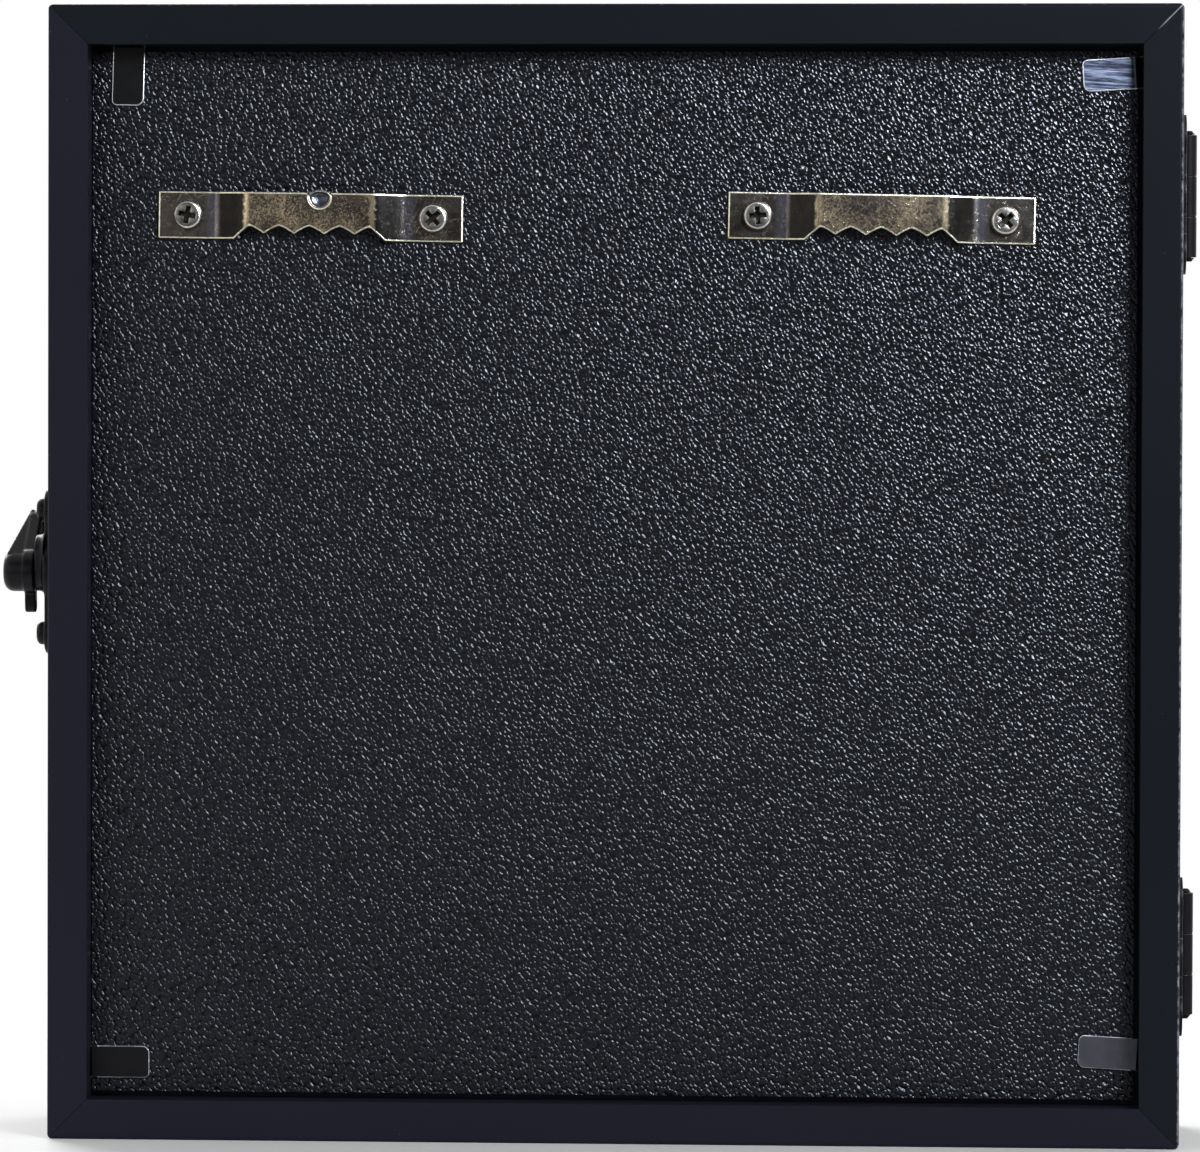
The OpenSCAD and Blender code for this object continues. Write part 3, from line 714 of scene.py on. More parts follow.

# %% [markdown]
# ## Leather-grained cover paper
#
# The back panel is covered with black paper that is pressed like leather. Its grain is far
# too fine to model, with some eighty thousand pebbles, so it is relief in the material. The
# tops of the pebbles are polished by handling and the creases stay dull; the creases are
# also painted near black, as painted shade. The paper is glossiest at the upper corner of
# the hinge side and dullest at the corner across, and its colour is painted lighter towards
# that dull corner, a painted sheen.

# %% Finish: leather grain
PEBBLE = 0.72 * MM
PEBBLE_STEEPNESS = 0.42
leather, shader, place = new_finish("leather-grained paper")
grain = group_in(pebble_grain, place, Pebbles_per_metre=1 / PEBBLE, Unevenness=0.03)
axes = axes_of(place)
diagonal = minus(axes["Z"], axes["X"])
polish_and_painted_sheen = between(diagonal, skin_low.z - skin_high.x, skin_high.z - skin_low.x)
# Painted sheen: the colour is lighter towards the dull lower corner of the latch side and darker at the
# glossy corner; the noise is tone that differs at random.
dull = colour_mix(noise(place, 45.0), (0.0106, 0.0110, 0.0152), (0.0128, 0.0132, 0.0182))
top = colour_mix(polish_and_painted_sheen, dull, (0.0066, 0.0068, 0.0128))
# The creases are painted near black: painted shade.
coloured(shader, grain["Crease"], top, (0.0010, 0.0011, 0.0020))
link(value_mix(polish_and_painted_sheen, 0.12, 0.19), shader.inputs["Specular IOR Level"])
link(plus(value_mix(polish_and_painted_sheen, 0.27, 0.19), times(grain["Crease"], 0.08)), shader.inputs["Roughness"])
bumped(shader, grain["Height"], PEBBLE * PEBBLE_STEEPNESS)
dress(leather, "back_panel_skin")

# %% [markdown]
# ## Raw board and foam
#
# These two show only at their thin edges: the back panel's brown hardboard, and the white
# foam of the pinning board with its small closed cells.

# %% Finish: hardboard and foam
hardboard, shader, place = new_finish("raw hardboard", Roughness=0.85)
fibres = noise(stretched(place, (4, 1, 4)), 900.0, 5.0, 0.7)
coloured(shader, fibres, (0.11, 0.065, 0.035), (0.26, 0.17, 0.10))
bumped(shader, fibres, 0.15 * MM)
dress(hardboard, "back_panel")

foam, shader, place = new_finish("white foam", Roughness=0.7)
bubbles = node(foam.node_tree, "ShaderNodeTexVoronoi", feature="SMOOTH_F1", Scale=1400.0)
link(place, bubbles.inputs["Vector"])
coloured(shader, bubbles.outputs["Distance"], (0.84, 0.84, 0.81), (0.72, 0.72, 0.69))
bumped(shader, bubbles.outputs["Distance"], 0.2 * MM)
dress(foam, "pinning_board")

# %% [markdown]
# ## Sizes of a hanger
#
# The hanger's finish changes from bend to bend, so its sizes are named before it.

# %% Measures of a hanger
STRIP_THICK = 0.8 * MM
BRIDGE_LIFT = 2.4 * MM
HANGER_LONG = 61.5 * MM
HANGER_HIGH = 9.5 * MM
BRIDGE_HALF = 12.5 * MM
RAMP = 7.0 * MM
TOOTH_PITCH = 6.1 * MM
TOOTH_COUNT = 4
TOOTH_ROOT = 2.7 * MM
TOOTH_DEEP = 1.6 * MM
SLOPE_OUT = 2.8 * MM
SCREW_SPREAD = 49.5 * MM

# %% [markdown]
# ## Metals
#
# Three kinds of metal finish show. The hangers are antique bronze: brass that was blackened
# and rubbed bright again on edges, bends and high spots. On the hangers the bright line at
# each bend is also a painted highlight, the ramps are painted dark as painted shade and their
# feet bluish grey as a painted reflection. The latch and the hinges are blackened castings
# with a soft, slightly greasy sheen. The framing points are thin steel strip, two blackened,
# one bare and one dull grey.


# %% Finish: antique bronze
def antique_bronze(name, dark, gold, amount, scratch_amount, roughness=(0.32, 0.26)):
    """Blackened brass, rubbed back to gold over that share of its surface."""
    material, shader, place = new_finish(name, Metallic=1.0)
    spots = group_in(mottling, place, Spots_per_metre=3400.0, Amount=amount)
    lines = group_in(fine_scratches, place, Lines_per_metre=5200.0, Amount=scratch_amount)
    rubbed = larger(spots["Mask"], times(lines["Mask"], 0.45))
    tone = noise(place, 420.0, 5.0, 0.65)
    patina = colour_mix(between(tone, 0.35, 0.7), dark, tuple(c * 2.4 for c in dark))
    bright = colour_mix(tone, gold, tuple(min(1.0, c * 1.35) for c in gold))
    coloured(shader, rubbed, patina, bright)
    roughened(shader, rubbed, *roughness)
    bumped(shader, minus(tone, times(rubbed, 0.3)), 0.03 * MM)
    return material


def band(along, middle, half_width, soft):
    """1 where the distance along a strip is near the middle, 0 beyond, with that soft end."""
    off = unsigned(minus(along, middle))
    return between(off, half_width + soft, half_width - soft, True)


def hanger_bronze():
    """The hangers' finish: rubbed brass on the bridge, painted shade on the ramps, a painted reflection
    at their feet and, at each bend, rubbed brass with a painted highlight.
    """
    material = antique_bronze("antique bronze", (0.080, 0.069, 0.062), (0.72, 0.58, 0.39),
                              0.48, 0.45, (0.24, 0.25))
    tree = material.node_tree
    shader = tree.nodes["Principled BSDF"]
    place = tree.nodes["Texture Coordinate"].outputs["Object"]
    marked = node(tree, "ShaderNodeAttribute", attribute_name="along")
    along = unsigned(marked.outputs["Fac"])
    along_ragged = plus(along, times(minus(noise(place, 900.0), 0.5), 1.6 * MM))

    on_bridge = between(along_ragged, BRIDGE_HALF + 0.3 * MM, BRIDGE_HALF - 0.6 * MM, True)
    # Painted light: the ramps are painted nearly black (painted shade), the foot of each ramp bluish
    # grey (painted reflection), and the bend at the bridge bright (rubbed brass and a painted
    # highlight).
    ramp_painted_shade = band(along, BRIDGE_HALF + 0.48 * RAMP, 0.40 * RAMP, 0.09 * RAMP)
    foot_painted_reflection = band(along, BRIDGE_HALF + 1.06 * RAMP, 0.14 * RAMP, 0.1 * RAMP)
    bend_rubbed_and_highlight = band(along_ragged, BRIDGE_HALF + 0.02 * RAMP, 0.07 * RAMP, 0.05 * RAMP)

    scratches = group_in(fine_scratches, place, Lines_per_metre=3600.0, Amount=0.62)
    stains = group_in(mottling, place, Spots_per_metre=2900.0, Amount=0.79)
    handled = larger(times(scratches["Mask"], 0.3), times(stains["Mask"], 0.9))
    plain = shader.inputs["Base Color"].links[0].from_socket
    darkened = colour_mix(stains["Mask"], plain, (0.10, 0.09, 0.08))
    colour = colour_mix(on_bridge, plain, colour_mix(handled, darkened, (0.78, 0.61, 0.40)))
    for zone, share, painted_light_tint in ((ramp_painted_shade, 0.93, (0.012, 0.011, 0.010)),
                              (foot_painted_reflection, 0.4, (0.28, 0.28, 0.35)),
                              (bend_rubbed_and_highlight, 0.8, (0.92, 0.74, 0.46))):
        colour = colour_mix(times(zone, share), colour, painted_light_tint)
    link(colour, shader.inputs["Base Color"])
    return material


bronze_edge = antique_bronze("rubbed bronze edge", (0.62, 0.52, 0.34), (1.0, 0.90, 0.66), 0.85, 0.6)
# Inside of the dimple: dark bluish with grey spots, a painted reflection with painted highlights.
dimple_painted_reflection = antique_bronze("dimple", (0.045, 0.047, 0.060), (0.36, 0.36, 0.40), 0.6, 0.3, (0.3, 0.28))
screw_face = antique_bronze("nickel screw", (0.15, 0.14, 0.125), (0.44, 0.41, 0.37), 0.5, 0.5,
                            (0.28, 0.26))
# A lighter ring near the rim of the crown: painted highlight.
screw_rim_highlight = antique_bronze("screw rim, painted highlight", (0.36, 0.34, 0.31), (0.70, 0.67, 0.62), 0.7, 0.6,
                           (0.26, 0.24))
# The cross recess: painted shade.
screw_recess_shade = antique_bronze("recess, painted shade", (0.020, 0.018, 0.014), (0.09, 0.08, 0.06), 0.15, 0.1)


# %% Finish: blackened metal
def blackened(name, dark, worn_colour, low_rough, amount, specular=0.5):
    """Blackened steel or zinc with small bright rubs."""
    material, shader, place = new_finish(name, Specular_IOR_Level=specular)
    spots = group_in(mottling, place, Spots_per_metre=1300.0, Amount=amount)
    tone = noise(place, 300.0, 4.0)
    coloured(shader, spots["Mask"], colour_mix(tone, dark, tuple(c * 2.2 for c in dark)), worn_colour)
    roughened(shader, tone, low_rough, low_rough + 0.16)
    bumped(shader, tone, 0.05 * MM)
    return material


latch_black = blackened("blackened casting", (0.0036, 0.0038, 0.0050), (0.03, 0.03, 0.034),
                        0.26, 0.12, 0.15)
hinge_black = blackened("blackened bronze hinge", (0.0075, 0.0065, 0.0080),
                        (0.035, 0.032, 0.034), 0.36, 0.3, 0.05)
# Edges of the hinge leaves: rubbed metal, and a bluish grey that is a painted highlight.
hinge_edge_and_highlight = blackened("rubbed hinge edge, painted highlight", (0.022, 0.023, 0.029), (0.20, 0.21, 0.25), 0.3, 0.5, 0.2)
rivet_steel = blackened("rivet steel", (0.02, 0.02, 0.021), (0.2, 0.2, 0.2), 0.25, 0.35)
point_black = blackened("blackened strip", (0.0028, 0.0028, 0.0034), (0.03, 0.03, 0.034),
                        0.34, 0.05, 0.12)
point_grey = blackened("dull grey strip", (0.036, 0.036, 0.045), (0.08, 0.08, 0.09), 0.5, 0.15, 0.12)


# %% Finish: bare steel strip
BEND_LINE = 1.6 * MM


def brushed_steel(name, low, high, lean_degrees=0.0, roughness=0.3):
    """Bare steel with the fine lines of rolling along the strip, painted shade next to the rail and a
    painted highlight along the line where it bends.
    """
    material, shader, place = new_finish(name, Metallic=1.0)
    along = stretched(place, (20, 1, 1), (0, math.radians(lean_degrees), 0))
    rolled = noise(along, 2600.0, 4.0, 0.7)
    rolled_colour = colour_mix(between(rolled, 0.42, 0.68), low, high)
    marked = node(material.node_tree, "ShaderNodeAttribute", attribute_name="from_rail")
    from_rail = marked.outputs["Fac"]
    # Next to the rail the strip is painted dark (painted shade), and along the bend a bright line is
    # painted (painted highlight).
    shaded = between(from_rail, BEND_LINE, BEND_LINE - 0.3 * MM)
    painted_bend_line = band(from_rail, BEND_LINE, 0.15 * MM, 0.12 * MM)
    coloured(shader, painted_bend_line, colour_mix(shaded, rolled_colour, tuple(c * 0.12 for c in low)), high)
    roughened(shader, rolled, roughness, roughness + 0.2)
    bumped(shader, rolled, 0.02 * MM)
    return material


point_steel = brushed_steel("bare steel strip", (0.020, 0.023, 0.036), (0.21, 0.235, 0.31), -3.5)
point_edge = brushed_steel("bright strip edge", (0.75, 0.75, 0.78), (0.98, 0.98, 1.0), 0, 0.25)
point_edge_dull = brushed_steel("dull strip edge", (0.16, 0.16, 0.17), (0.60, 0.60, 0.62), 0, 0.35)

dress(latch_black, "latch_plate", "latch_plate_screws", "catch_plate", "catch_plate_screws",
      "latch_hook")
dress(rivet_steel, "latch_rivet", "catch_post")
dress(hinge_black, "hinge_upper_case_leaf", "hinge_lower_case_leaf", "hinge_upper_door_leaf",
      "hinge_lower_door_leaf", "hinge_upper_pin", "hinge_lower_pin", "hinge_case_screws",
      "hinge_door_screws")
dress(point_grey, "framing_point_roots")

# %% [markdown]
# ## Glass
#
# Clear float glass, 2 mm thick, hardly tinted. It is a solid pane, so light bends into it
# and out of it again.

# %% Finish: glass
glass, shader, place = new_finish("float glass", Transmission_Weight=1.0, IOR=1.5,
                                  Base_Color=(0.985, 0.99, 0.985, 1))
smears = noise(place, 18.0, 4.0, 0.6)
roughened(shader, between(smears, 0.55, 0.75), 0.0, 0.05)
dress(glass, "glass_pane")


# %% [markdown]
# ## Eased copies of stamped and turned parts
#
# No stamped plate or turned screw has a razor edge. A copy of the frame's piece is merged,
# its flat faces are dissolved into single ones, and a bevel is run along every sharp edge.
# The bevel's faces can take a second finish, which is how a rubbed bright edge is made; on the hinges
# that edge is also a painted highlight.


# %% Easing edges
MERGE_DISTANCE = 0.002 * MM


def stands_for(twin, source):
    """The copy replaces its frame piece and follows the same body."""
    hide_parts(source)
    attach(twin, nodes[source]["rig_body"])


def eased_copy(source, name, width, finish, edge_finish=None):
    """A copy of a frame piece with its sharp edges rounded over that width."""
    twin = frame_copy(source, name, finish, edge_finish or finish)
    open_mesh(twin)
    merge_close(MERGE_DISTANCE)
    bpy.ops.mesh.dissolve_limited(angle_limit=math.radians(0.6))
    close_mesh()
    for face in twin.data.polygons:
        face.material_index = 0
    rounded(twin, width, 32, material=1)
    smooth(twin)
    stands_for(twin, source)


# %% [markdown]
# ## Cast pieces
#
# The swing hook and its plate are cast, so every corner, inside and out, is a small hollow
# or a rounding. A fine remesh of the frame's piece, smoothed a few times, melts the corners
# in just that way and keeps the shape.


# %% Casting
def cast_copy(source, name, grain_size, smoothings):
    """A copy of a frame piece with all its corners melted, as a casting has."""
    twin = frame_copy(source, name, latch_black)
    open_mesh(twin)
    merge_close(MERGE_DISTANCE)
    close_mesh()
    with_modifier(twin, "REMESH", mode="VOXEL", voxel_size=grain_size, adaptivity=0.0)
    with_modifier(twin, "SMOOTH", factor=0.5, iterations=smoothings)
    only(twin)
    bpy.ops.object.shade_smooth()
    stands_for(twin, source)


cast_copy("latch_hook", "swing_hook", 0.14 * MM, 20)
cast_copy("latch_plate", "latch_base", 0.25 * MM, 5)

# %% Hinges, catch and rivet
MIDDLE_KNUCKLE = 8.2 * MM
KNUCKLE_GAP = 0.15 * MM
WASHER_OVERLAP = 0.08 * MM


def pin_with_washers(source):
    """The hinge's pin with a thin washer in each of the two gaps between its knuckles."""
    low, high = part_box(source)
    leaf_low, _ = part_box(source.replace("pin", "case_leaf"))
    barrel_r = low.x - leaf_low.x + (high.x - low.x) / 2
    middle = (low + high) / 2
    pin = frame_copy(source, source + "_and_washers")
    parts = [pin]
    for side in (-1, 1):
        washer_z = middle.z + side * (MIDDLE_KNUCKLE + KNUCKLE_GAP) / 2
        bpy.ops.mesh.primitive_cylinder_add(
            vertices=32, radius=barrel_r - WASHER_OVERLAP, depth=KNUCKLE_GAP + 2 * WASHER_OVERLAP,
            location=(middle.x, middle.y, washer_z))
        washer = named("washer")
        put_in_place(washer)
        parts.append(washer)
    pin = join(parts, pin.name)
    finish_with(pin, hinge_black)
    smooth(pin)
    stands_for(pin, source)


for hinge in ("hinge_upper", "hinge_lower"):
    for leaf in (hinge + "_case_leaf", hinge + "_door_leaf"):
        eased_copy(leaf, leaf + "_eased", 0.07 * MM, hinge_black, hinge_edge_and_highlight)
    pin_with_washers(hinge + "_pin")
for piece, finish in (("catch_plate", latch_black), ("catch_post", rivet_steel),
                      ("latch_rivet", rivet_steel)):
    eased_copy(piece, piece + "_eased", 0.15 * MM, finish)

# %% [markdown]
# ## Sawtooth hangers
#
# A sawtooth hanger is a strip of thin brass: two flat feet with a screw each, and a bridge
# between them that is bent up clear of the panel, with teeth along its lower edge for the
# nail. It is modelled as it is made: a flat strip is cut across at every tooth and bend,
# the tooth line is pulled up, the bridge is lifted, and the strip gets its thickness last.
# The frame has the same hanger with plain corners; this one has rounded bends and edges.

# %% Outline of a hanger
def bridge_height(x):
    """How far the strip's underside stands off the panel, at x along the hanger."""
    beyond = abs(x) - BRIDGE_HALF
    share = min(1.0, max(0.0, 1 - beyond / RAMP))
    return BRIDGE_LIFT * (1 - math.cos(math.pi * share)) / 2


def tooth_line(x):
    """How far the strip's lower edge is cut back, at x along the hanger."""
    teeth_half = TOOTH_COUNT * TOOTH_PITCH / 2
    if abs(x) >= teeth_half:
        return TOOTH_ROOT * max(0.0, 1 - (abs(x) - teeth_half) / SLOPE_OUT)
    phase = (abs(x) / (TOOTH_PITCH / 2)) % 2
    towards_tip = phase if phase <= 1 else 2 - phase
    return TOOTH_ROOT - TOOTH_DEEP * towards_tip ** 1.35


# %% Shape one strip
def hanger_strip(name):
    """One hanger, lying along x with its back on y = 0 and its middle at the origin."""
    bpy.ops.mesh.primitive_plane_add(size=1, rotation=(-math.pi / 2, 0, 0))
    strip = named(name)
    strip.scale = (HANGER_LONG, HANGER_HIGH, 1)
    put_in_place(strip)
    open_mesh(strip)
    cuts = [BRIDGE_HALF + RAMP * step / 14 for step in range(15)]
    cuts += [TOOTH_PITCH / 8 * step for step in range(1, 16)]
    cuts += [TOOTH_COUNT * TOOTH_PITCH / 2, TOOTH_COUNT * TOOTH_PITCH / 2 + SLOPE_OUT, 0.0]
    every_cut = sorted({round(side * cut, 6) for cut in cuts for side in (1, -1)})
    for x in every_cut:
        cut_across((x, 0, 0), (1, 0, 0))
    cut_across((0, 0, 0), (0, 0, 1))
    columns = sorted({round(v.co.x, 6) for v in bmesh.from_edit_mesh(strip.data).verts})
    for x in columns:
        pick_vertices(strip, lambda co: abs(co.x - x) < 0.02 * MM)
        bpy.ops.transform.translate(value=(0, bridge_height(x), 0))
        if tooth_line(x) > 0:
            pick_vertices(strip, lambda co: abs(co.x - x) < 0.02 * MM and co.z < -0.49 * HANGER_HIGH)
            bpy.ops.transform.translate(value=(0, 0, tooth_line(x)))
    close_mesh()
    with_modifier(strip, "SOLIDIFY", thickness=STRIP_THICK, offset=1.0)
    return strip


# %% [markdown]
# A cross-recess screw is a turned blank with a pressed cross. The head is spun from half of
# its profile, and two crossed wedges and a small square cut the recess out. The recess is
# painted dark as painted shade, and a ring near the rim of the crown is painted lighter as a
# painted highlight. One screw is made and copied, and each copy is turned a little
# differently, as on the real one.


# %% Shape one screw
CROWN_SHARE = 0.55
CROWN_STEPS = 8
RECESS_TAPER = 0.62


def cross_screw(name, head_r, head_h, recess):
    """A round-headed screw, its head's seat on z = 0 and its top up, with a cross recess."""
    bpy.ops.mesh.primitive_circle_add(vertices=3, radius=head_r)
    screw = named(name)
    open_mesh(screw)
    bpy.ops.mesh.select_all(action="SELECT")
    bpy.ops.mesh.delete(type="VERT")
    mesh = bmesh.from_edit_mesh(screw.data)
    profile = [(0.0, head_h)]
    crown = CROWN_SHARE * head_h
    for step in range(1, CROWN_STEPS + 1):
        angle = math.radians(90 - step * 90 / CROWN_STEPS)
        profile.append((head_r - crown + crown * math.cos(angle),
                        head_h - crown + crown * math.sin(angle)))
    profile += [(head_r, 0.0), (0.0, 0.0)]
    made = [mesh.verts.new((x, 0, z)) for x, z in profile]
    for first, second in zip(made, made[1:]):
        mesh.edges.new((first, second))
    bmesh.update_edit_mesh(screw.data)
    bpy.ops.mesh.select_all(action="SELECT")
    bpy.ops.mesh.spin(steps=48, angle=2 * math.pi, center=(0, 0, 0), axis=(0, 0, 1))
    merge_close(0.001 * MM)
    bpy.ops.mesh.normals_make_consistent(inside=False)
    close_mesh()
    finish_with(screw, screw_face, screw_recess_shade, screw_rim_highlight)
    # The ring near the crown's rim takes the painted highlight.
    for polygon in screw.data.polygons:
        middle = polygon.center
        if 0.8 * head_r < middle.xy.length < 0.95 * head_r and middle.z > 0.5 * head_h:
            polygon.material_index = 2

    # Two crossed wedges, then the square between them: length, width, height and turn.
    long, narrow, square = recess, 0.28 * recess, 0.46 * recess
    for size, turn in (((long, narrow, 1.5 * head_h), 0),
                       ((long, narrow, 1.5 * head_h), math.pi / 2),
                       ((square, square, 1.3 * head_h), math.pi / 4)):
        bpy.ops.mesh.primitive_cube_add(size=1, location=(0, 0, head_h), rotation=(0, 0, turn))
        wedge = named("wedge")
        wedge.scale = size
        put_in_place(wedge)
        open_mesh(wedge)
        pick_vertices(wedge, lambda co: co.z < head_h)
        bpy.ops.transform.resize(value=(RECESS_TAPER, RECESS_TAPER, 1), center_override=(0, 0, 0))
        close_mesh()
        # The wedges give the recess its dark finish: painted shade.
        finish_with(wedge, screw_recess_shade)
        with_modifier(screw, "BOOLEAN", operation="DIFFERENCE", object=wedge, solver="EXACT",
                      material_mode="TRANSFER")
        bpy.data.objects.remove(wedge)
    rounded(screw, 0.06 * MM)
    smooth(screw)
    return screw


# %% Hangers in place
def on_panel(piece, x, z, turn_degrees):
    """Moves a piece made at the origin to its place on the back panel."""
    piece.rotation_euler = (0, -math.radians(turn_degrees), 0)
    piece.location = (x, skin_y, z)
    put_in_place(piece)


# %% [markdown]
# The hanger of the latch side has a small punched dimple at the middle of its upper edge, a
# locating mark of the press. It is a shallow bowl with a raised rim. Its inside is painted
# dark bluish with grey spots, a painted reflection with painted highlights.


# %% Dimple
DIMPLE_R = 2.3 * MM
DIMPLE_X = -2.0 * MM
DIMPLE_DROP = 0.9 * MM
DIMPLE_Z = HANGER_HIGH / 2 - DIMPLE_DROP
DIMPLE_FLAT_TOP = 0.62


def cut_for_dimple(strip):
    """Takes a round hole out of the strip, a little smaller than the bowl that fills it."""
    bpy.ops.mesh.primitive_cylinder_add(vertices=40, radius=DIMPLE_R - 0.15 * MM,
                                        depth=6 * BRIDGE_LIFT, location=(DIMPLE_X, 0, DIMPLE_Z),
                                        rotation=(math.pi / 2, 0, 0))
    punch = named("punch")
    put_in_place(punch)
    open_mesh(punch)
    pick_vertices(punch, lambda co: co.z > DIMPLE_Z)
    bpy.ops.transform.resize(value=(1, 1, DIMPLE_FLAT_TOP), center_override=(0, 0, DIMPLE_Z))
    close_mesh()
    with_modifier(strip, "BOOLEAN", operation="DIFFERENCE", object=punch, solver="EXACT")
    bpy.data.objects.remove(punch)


def dimple(name):
    """The bowl, open towards +y, with the middle of its rim at the origin."""
    bpy.ops.mesh.primitive_uv_sphere_add(segments=40, ring_count=24, radius=DIMPLE_R,
                                         rotation=(-math.pi / 2, 0, 0))
    bowl = named(name)
    bowl.scale = (1, 1, 0.55)
    put_in_place(bowl)
    open_mesh(bowl)
    pick_vertices(bowl, lambda co: co.y > 0.1 * MM)
    bpy.ops.mesh.delete(type="VERT")
    pick_vertices(bowl, lambda co: co.z > 0)
    bpy.ops.transform.resize(value=(1, 1, DIMPLE_FLAT_TOP), center_override=(0, 0, 0))
    close_mesh()
    finish_with(bowl, dimple_painted_reflection, bronze_edge)
    with_modifier(bowl, "SOLIDIFY", thickness=0.3 * MM, offset=-1.0, use_rim=True)
    rounded(bowl, 0.06 * MM, material=1)
    smooth(bowl, 50)
    return bowl


# %% Place the hangers
hanger_turns = {"hanger_latch_side": 0.8, "hanger_hinge_side": 1.1}
cross_turns = {"hanger_latch_side": (-10, 45), "hanger_hinge_side": (5, 44)}
bronze_face = hanger_bronze()
screw_pattern = cross_screw("hanger_screw", 2.9 * MM, 1.5 * MM, 4.3 * MM)
hanger_screws = []
for source, turn in hanger_turns.items():
    low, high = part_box(source)
    middle = (low + high) / 2
    strip = hanger_strip(source + "_strip")
    if source == "hanger_latch_side":
        cut_for_dimple(strip)
    finish_with(strip, bronze_face, bronze_edge)
    rounded(strip, 0.34 * MM, material=1, use_clamp_overlap=False)
    smooth(strip)
    mark(strip, "along", 0)
    on_panel(strip, middle.x, middle.z, turn)
    if source == "hanger_latch_side":
        bowl = dimple("dimple")
        bowl.location = (DIMPLE_X, BRIDGE_LIFT + STRIP_THICK, DIMPLE_Z)
        put_in_place(bowl)
        on_panel(bowl, middle.x, middle.z, turn)
        strip = join([strip, bowl], strip.name)
    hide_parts(source)
    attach(strip, "case")
    for side, cross in zip((1, -1), cross_turns[source]):
        screw = copy_of(screw_pattern, "screw")
        screw.rotation_euler = (0, 0, math.radians(cross))
        put_in_place(screw)
        screw.rotation_euler = (-math.pi / 2, 0, 0)
        screw.location = (side * SCREW_SPREAD / 2, STRIP_THICK, 0)
        put_in_place(screw)
        on_panel(screw, middle.x, middle.z, turn)
        hanger_screws.append(screw)
bpy.data.objects.remove(screw_pattern)
hanger_screws = join(hanger_screws, "hanger_screw_heads")
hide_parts("hanger_screws")
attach(hanger_screws, "case")

# %% [markdown]
# ## Framing points
#
# A framing point is a short steel strip that is driven into the rail and bent down by hand
# over the panel. Its end is rounded and its cut edges are bright. It is one piece, and the
# strip is cut across several times near the rail, where the real one is bent.


# %% Shape a framing point
POINT_WIDE = 6.5 * MM
POINT_THICK = 0.5 * MM
POINT_ROOT = 4.5 * MM
POINT_FREE = 12.0 * MM
HALF_BEND = 0.6 * MM
CUTS_AT_BEND = 13


def is_end_corner(edge, side):
    """Whether this edge of a plain strip is the corner of its free end on that side of x."""
    first, second = edge.verts[0].co, edge.verts[1].co
    at_corner = min(first.z, second.z) > 0.9 * POINT_FREE and side * first.x > 0 and side * second.x > 0
    level = abs(first.x - second.x) < 0.01 * MM and abs(first.z - second.z) < 0.01 * MM
    return at_corner and level


def framing_point(body, degrees, face, edge, corners, worn_edge=0.2 * MM):
    """A strip from inside the rail to its rounded end; corners are its two end radii."""
    bpy.ops.mesh.primitive_cube_add(size=1, location=(0, 0, (POINT_FREE - POINT_ROOT) / 2))
    strip = named(body + "_strip")
    strip.scale = (POINT_WIDE, POINT_THICK, POINT_FREE + POINT_ROOT)
    put_in_place(strip)
    open_mesh(strip, "EDGE")
    for side, radius in zip((-1, 1), corners):
        pick_edges(strip, lambda edge: is_end_corner(edge, side))
        bpy.ops.mesh.bevel(offset=radius, segments=8, affect="EDGES")
    for step in range(CUTS_AT_BEND):
        cut_across((0, 0, 0.2 * MM * step - 0.3 * MM), (0, 0, 1))
    close_mesh()
    finish_with(strip, face, edge)
    rounded(strip, worn_edge, material=1)
    smooth(strip)
    mark(strip, "from_rail", 2)
    joint = next(joint for joint in frame["joints"] if joint["child"] == body)
    turn = Matrix.Rotation(math.radians(degrees), 4, "Y")
    ahead = turn @ Vector((0, 0, 1))
    wall = Vector(joint["pos_m"]) - ahead * HALF_BEND
    strip.matrix_world = Matrix.Translation(wall) @ turn
    put_in_place(strip)
    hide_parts("framing_" + body)
    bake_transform(strip)


framing_point("point_top", 178.5, point_black, point_edge, (1.0 * MM, 1.6 * MM))
framing_point("point_upper", 93.5, point_steel, point_edge, (1.1 * MM, 1.5 * MM), 0.3 * MM)
framing_point("point_lower_latch", -90, point_black, point_edge_dull, (1.1 * MM, 1.5 * MM))
framing_point("point_lower_hinge", 87, point_grey, point_edge_dull, (1.2 * MM, 1.4 * MM), 0.12 * MM)

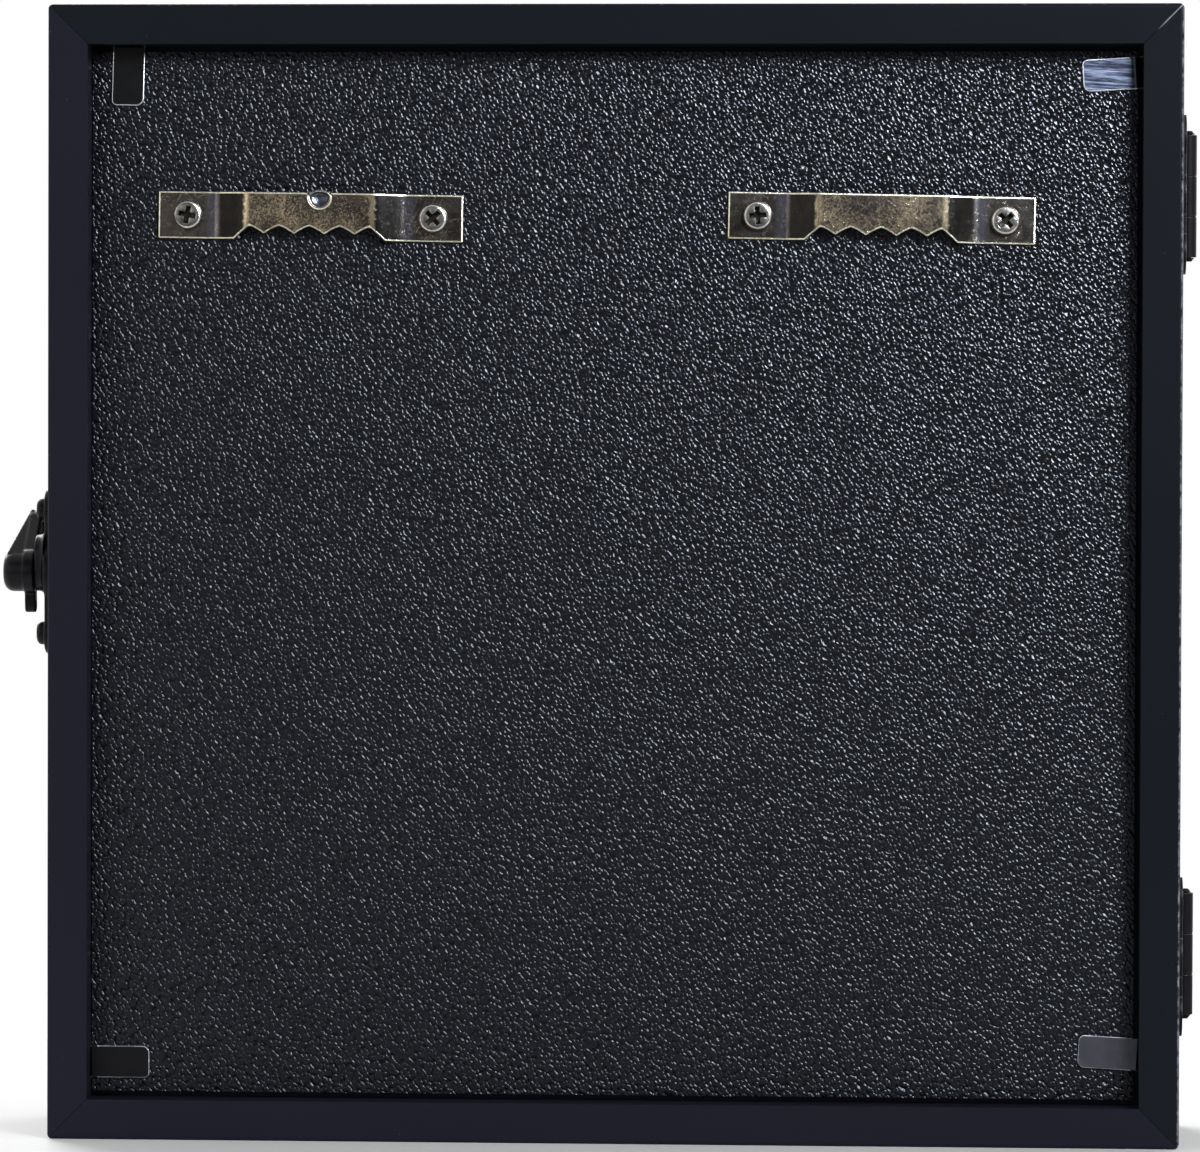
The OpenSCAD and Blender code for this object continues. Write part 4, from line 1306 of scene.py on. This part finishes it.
# %% [markdown]
# ## Linen on the pinning board
#
# Behind the glass the butterflies are pinned into foam, which is covered with off-white
# linen. The cloth is stretched over the board's face and turned round its edges. A grid is
# the natural start: its outer rings are turned back round the board, and the rest stays
# flat, with the weave as relief.

# %% Finish: linen
THREAD_WAVE = 0.75 * MM
linen, shader, place = new_finish("linen", Roughness=0.9, Specular_IOR_Level=0.2)
axes = axes_of(place)
upright_slub = noise(stretched(place, (1, 1, 9)), 1300.0, 3.0)
level_slub = noise(stretched(place, (9, 1, 1)), 1300.0, 3.0)
slub = times(plus(upright_slub, level_slub), 0.5)
threads = [math_node("SINE", times(axes[axis], 2 * math.pi / THREAD_WAVE)) for axis in ("X", "Z")]
cloth_height = plus(times(times(threads[0], threads[1]), 0.4), slub)
coloured(shader, between(cloth_height, 0.1, 0.9), (0.66, 0.61, 0.53), (0.86, 0.82, 0.75))
bumped(shader, cloth_height, 0.12 * MM)

# %% Shape the linen
CLOTH_GAP = 0.15 * MM
board_low, board_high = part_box("pinning_board")
board_middle = (board_low + board_high) / 2
board_wide = board_high.x - board_low.x
board_tall = board_high.z - board_low.z
bpy.ops.mesh.primitive_grid_add(x_subdivisions=60, y_subdivisions=60, size=1,
                                location=(board_middle.x, board_low.y - CLOTH_GAP, board_middle.z),
                                rotation=(math.pi / 2, 0, 0))
cloth = named("linen_cover")
cloth.scale = (board_wide, board_tall, 1)
put_in_place(cloth)
open_mesh(cloth, "EDGE")
pick_edges(cloth, lambda edge: edge.is_boundary)
for reach, out in ((0.15, 0.12), (0.35, 0.08), (1.5, 0.0), (2.0, 0.0), (2.0, 0.0)):
    bpy.ops.mesh.extrude_region_move(TRANSFORM_OT_translate={"value": (0, reach * MM, 0)})
    bpy.ops.transform.resize(value=(1 + 2 * out * MM / board_wide, 1, 1 + 2 * out * MM / board_tall),
                             center_override=tuple(board_middle))
close_mesh()
finish_with(cloth, linen)
only(cloth)
bpy.ops.object.shade_smooth()
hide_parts("board_liner")
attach(cloth, "case")
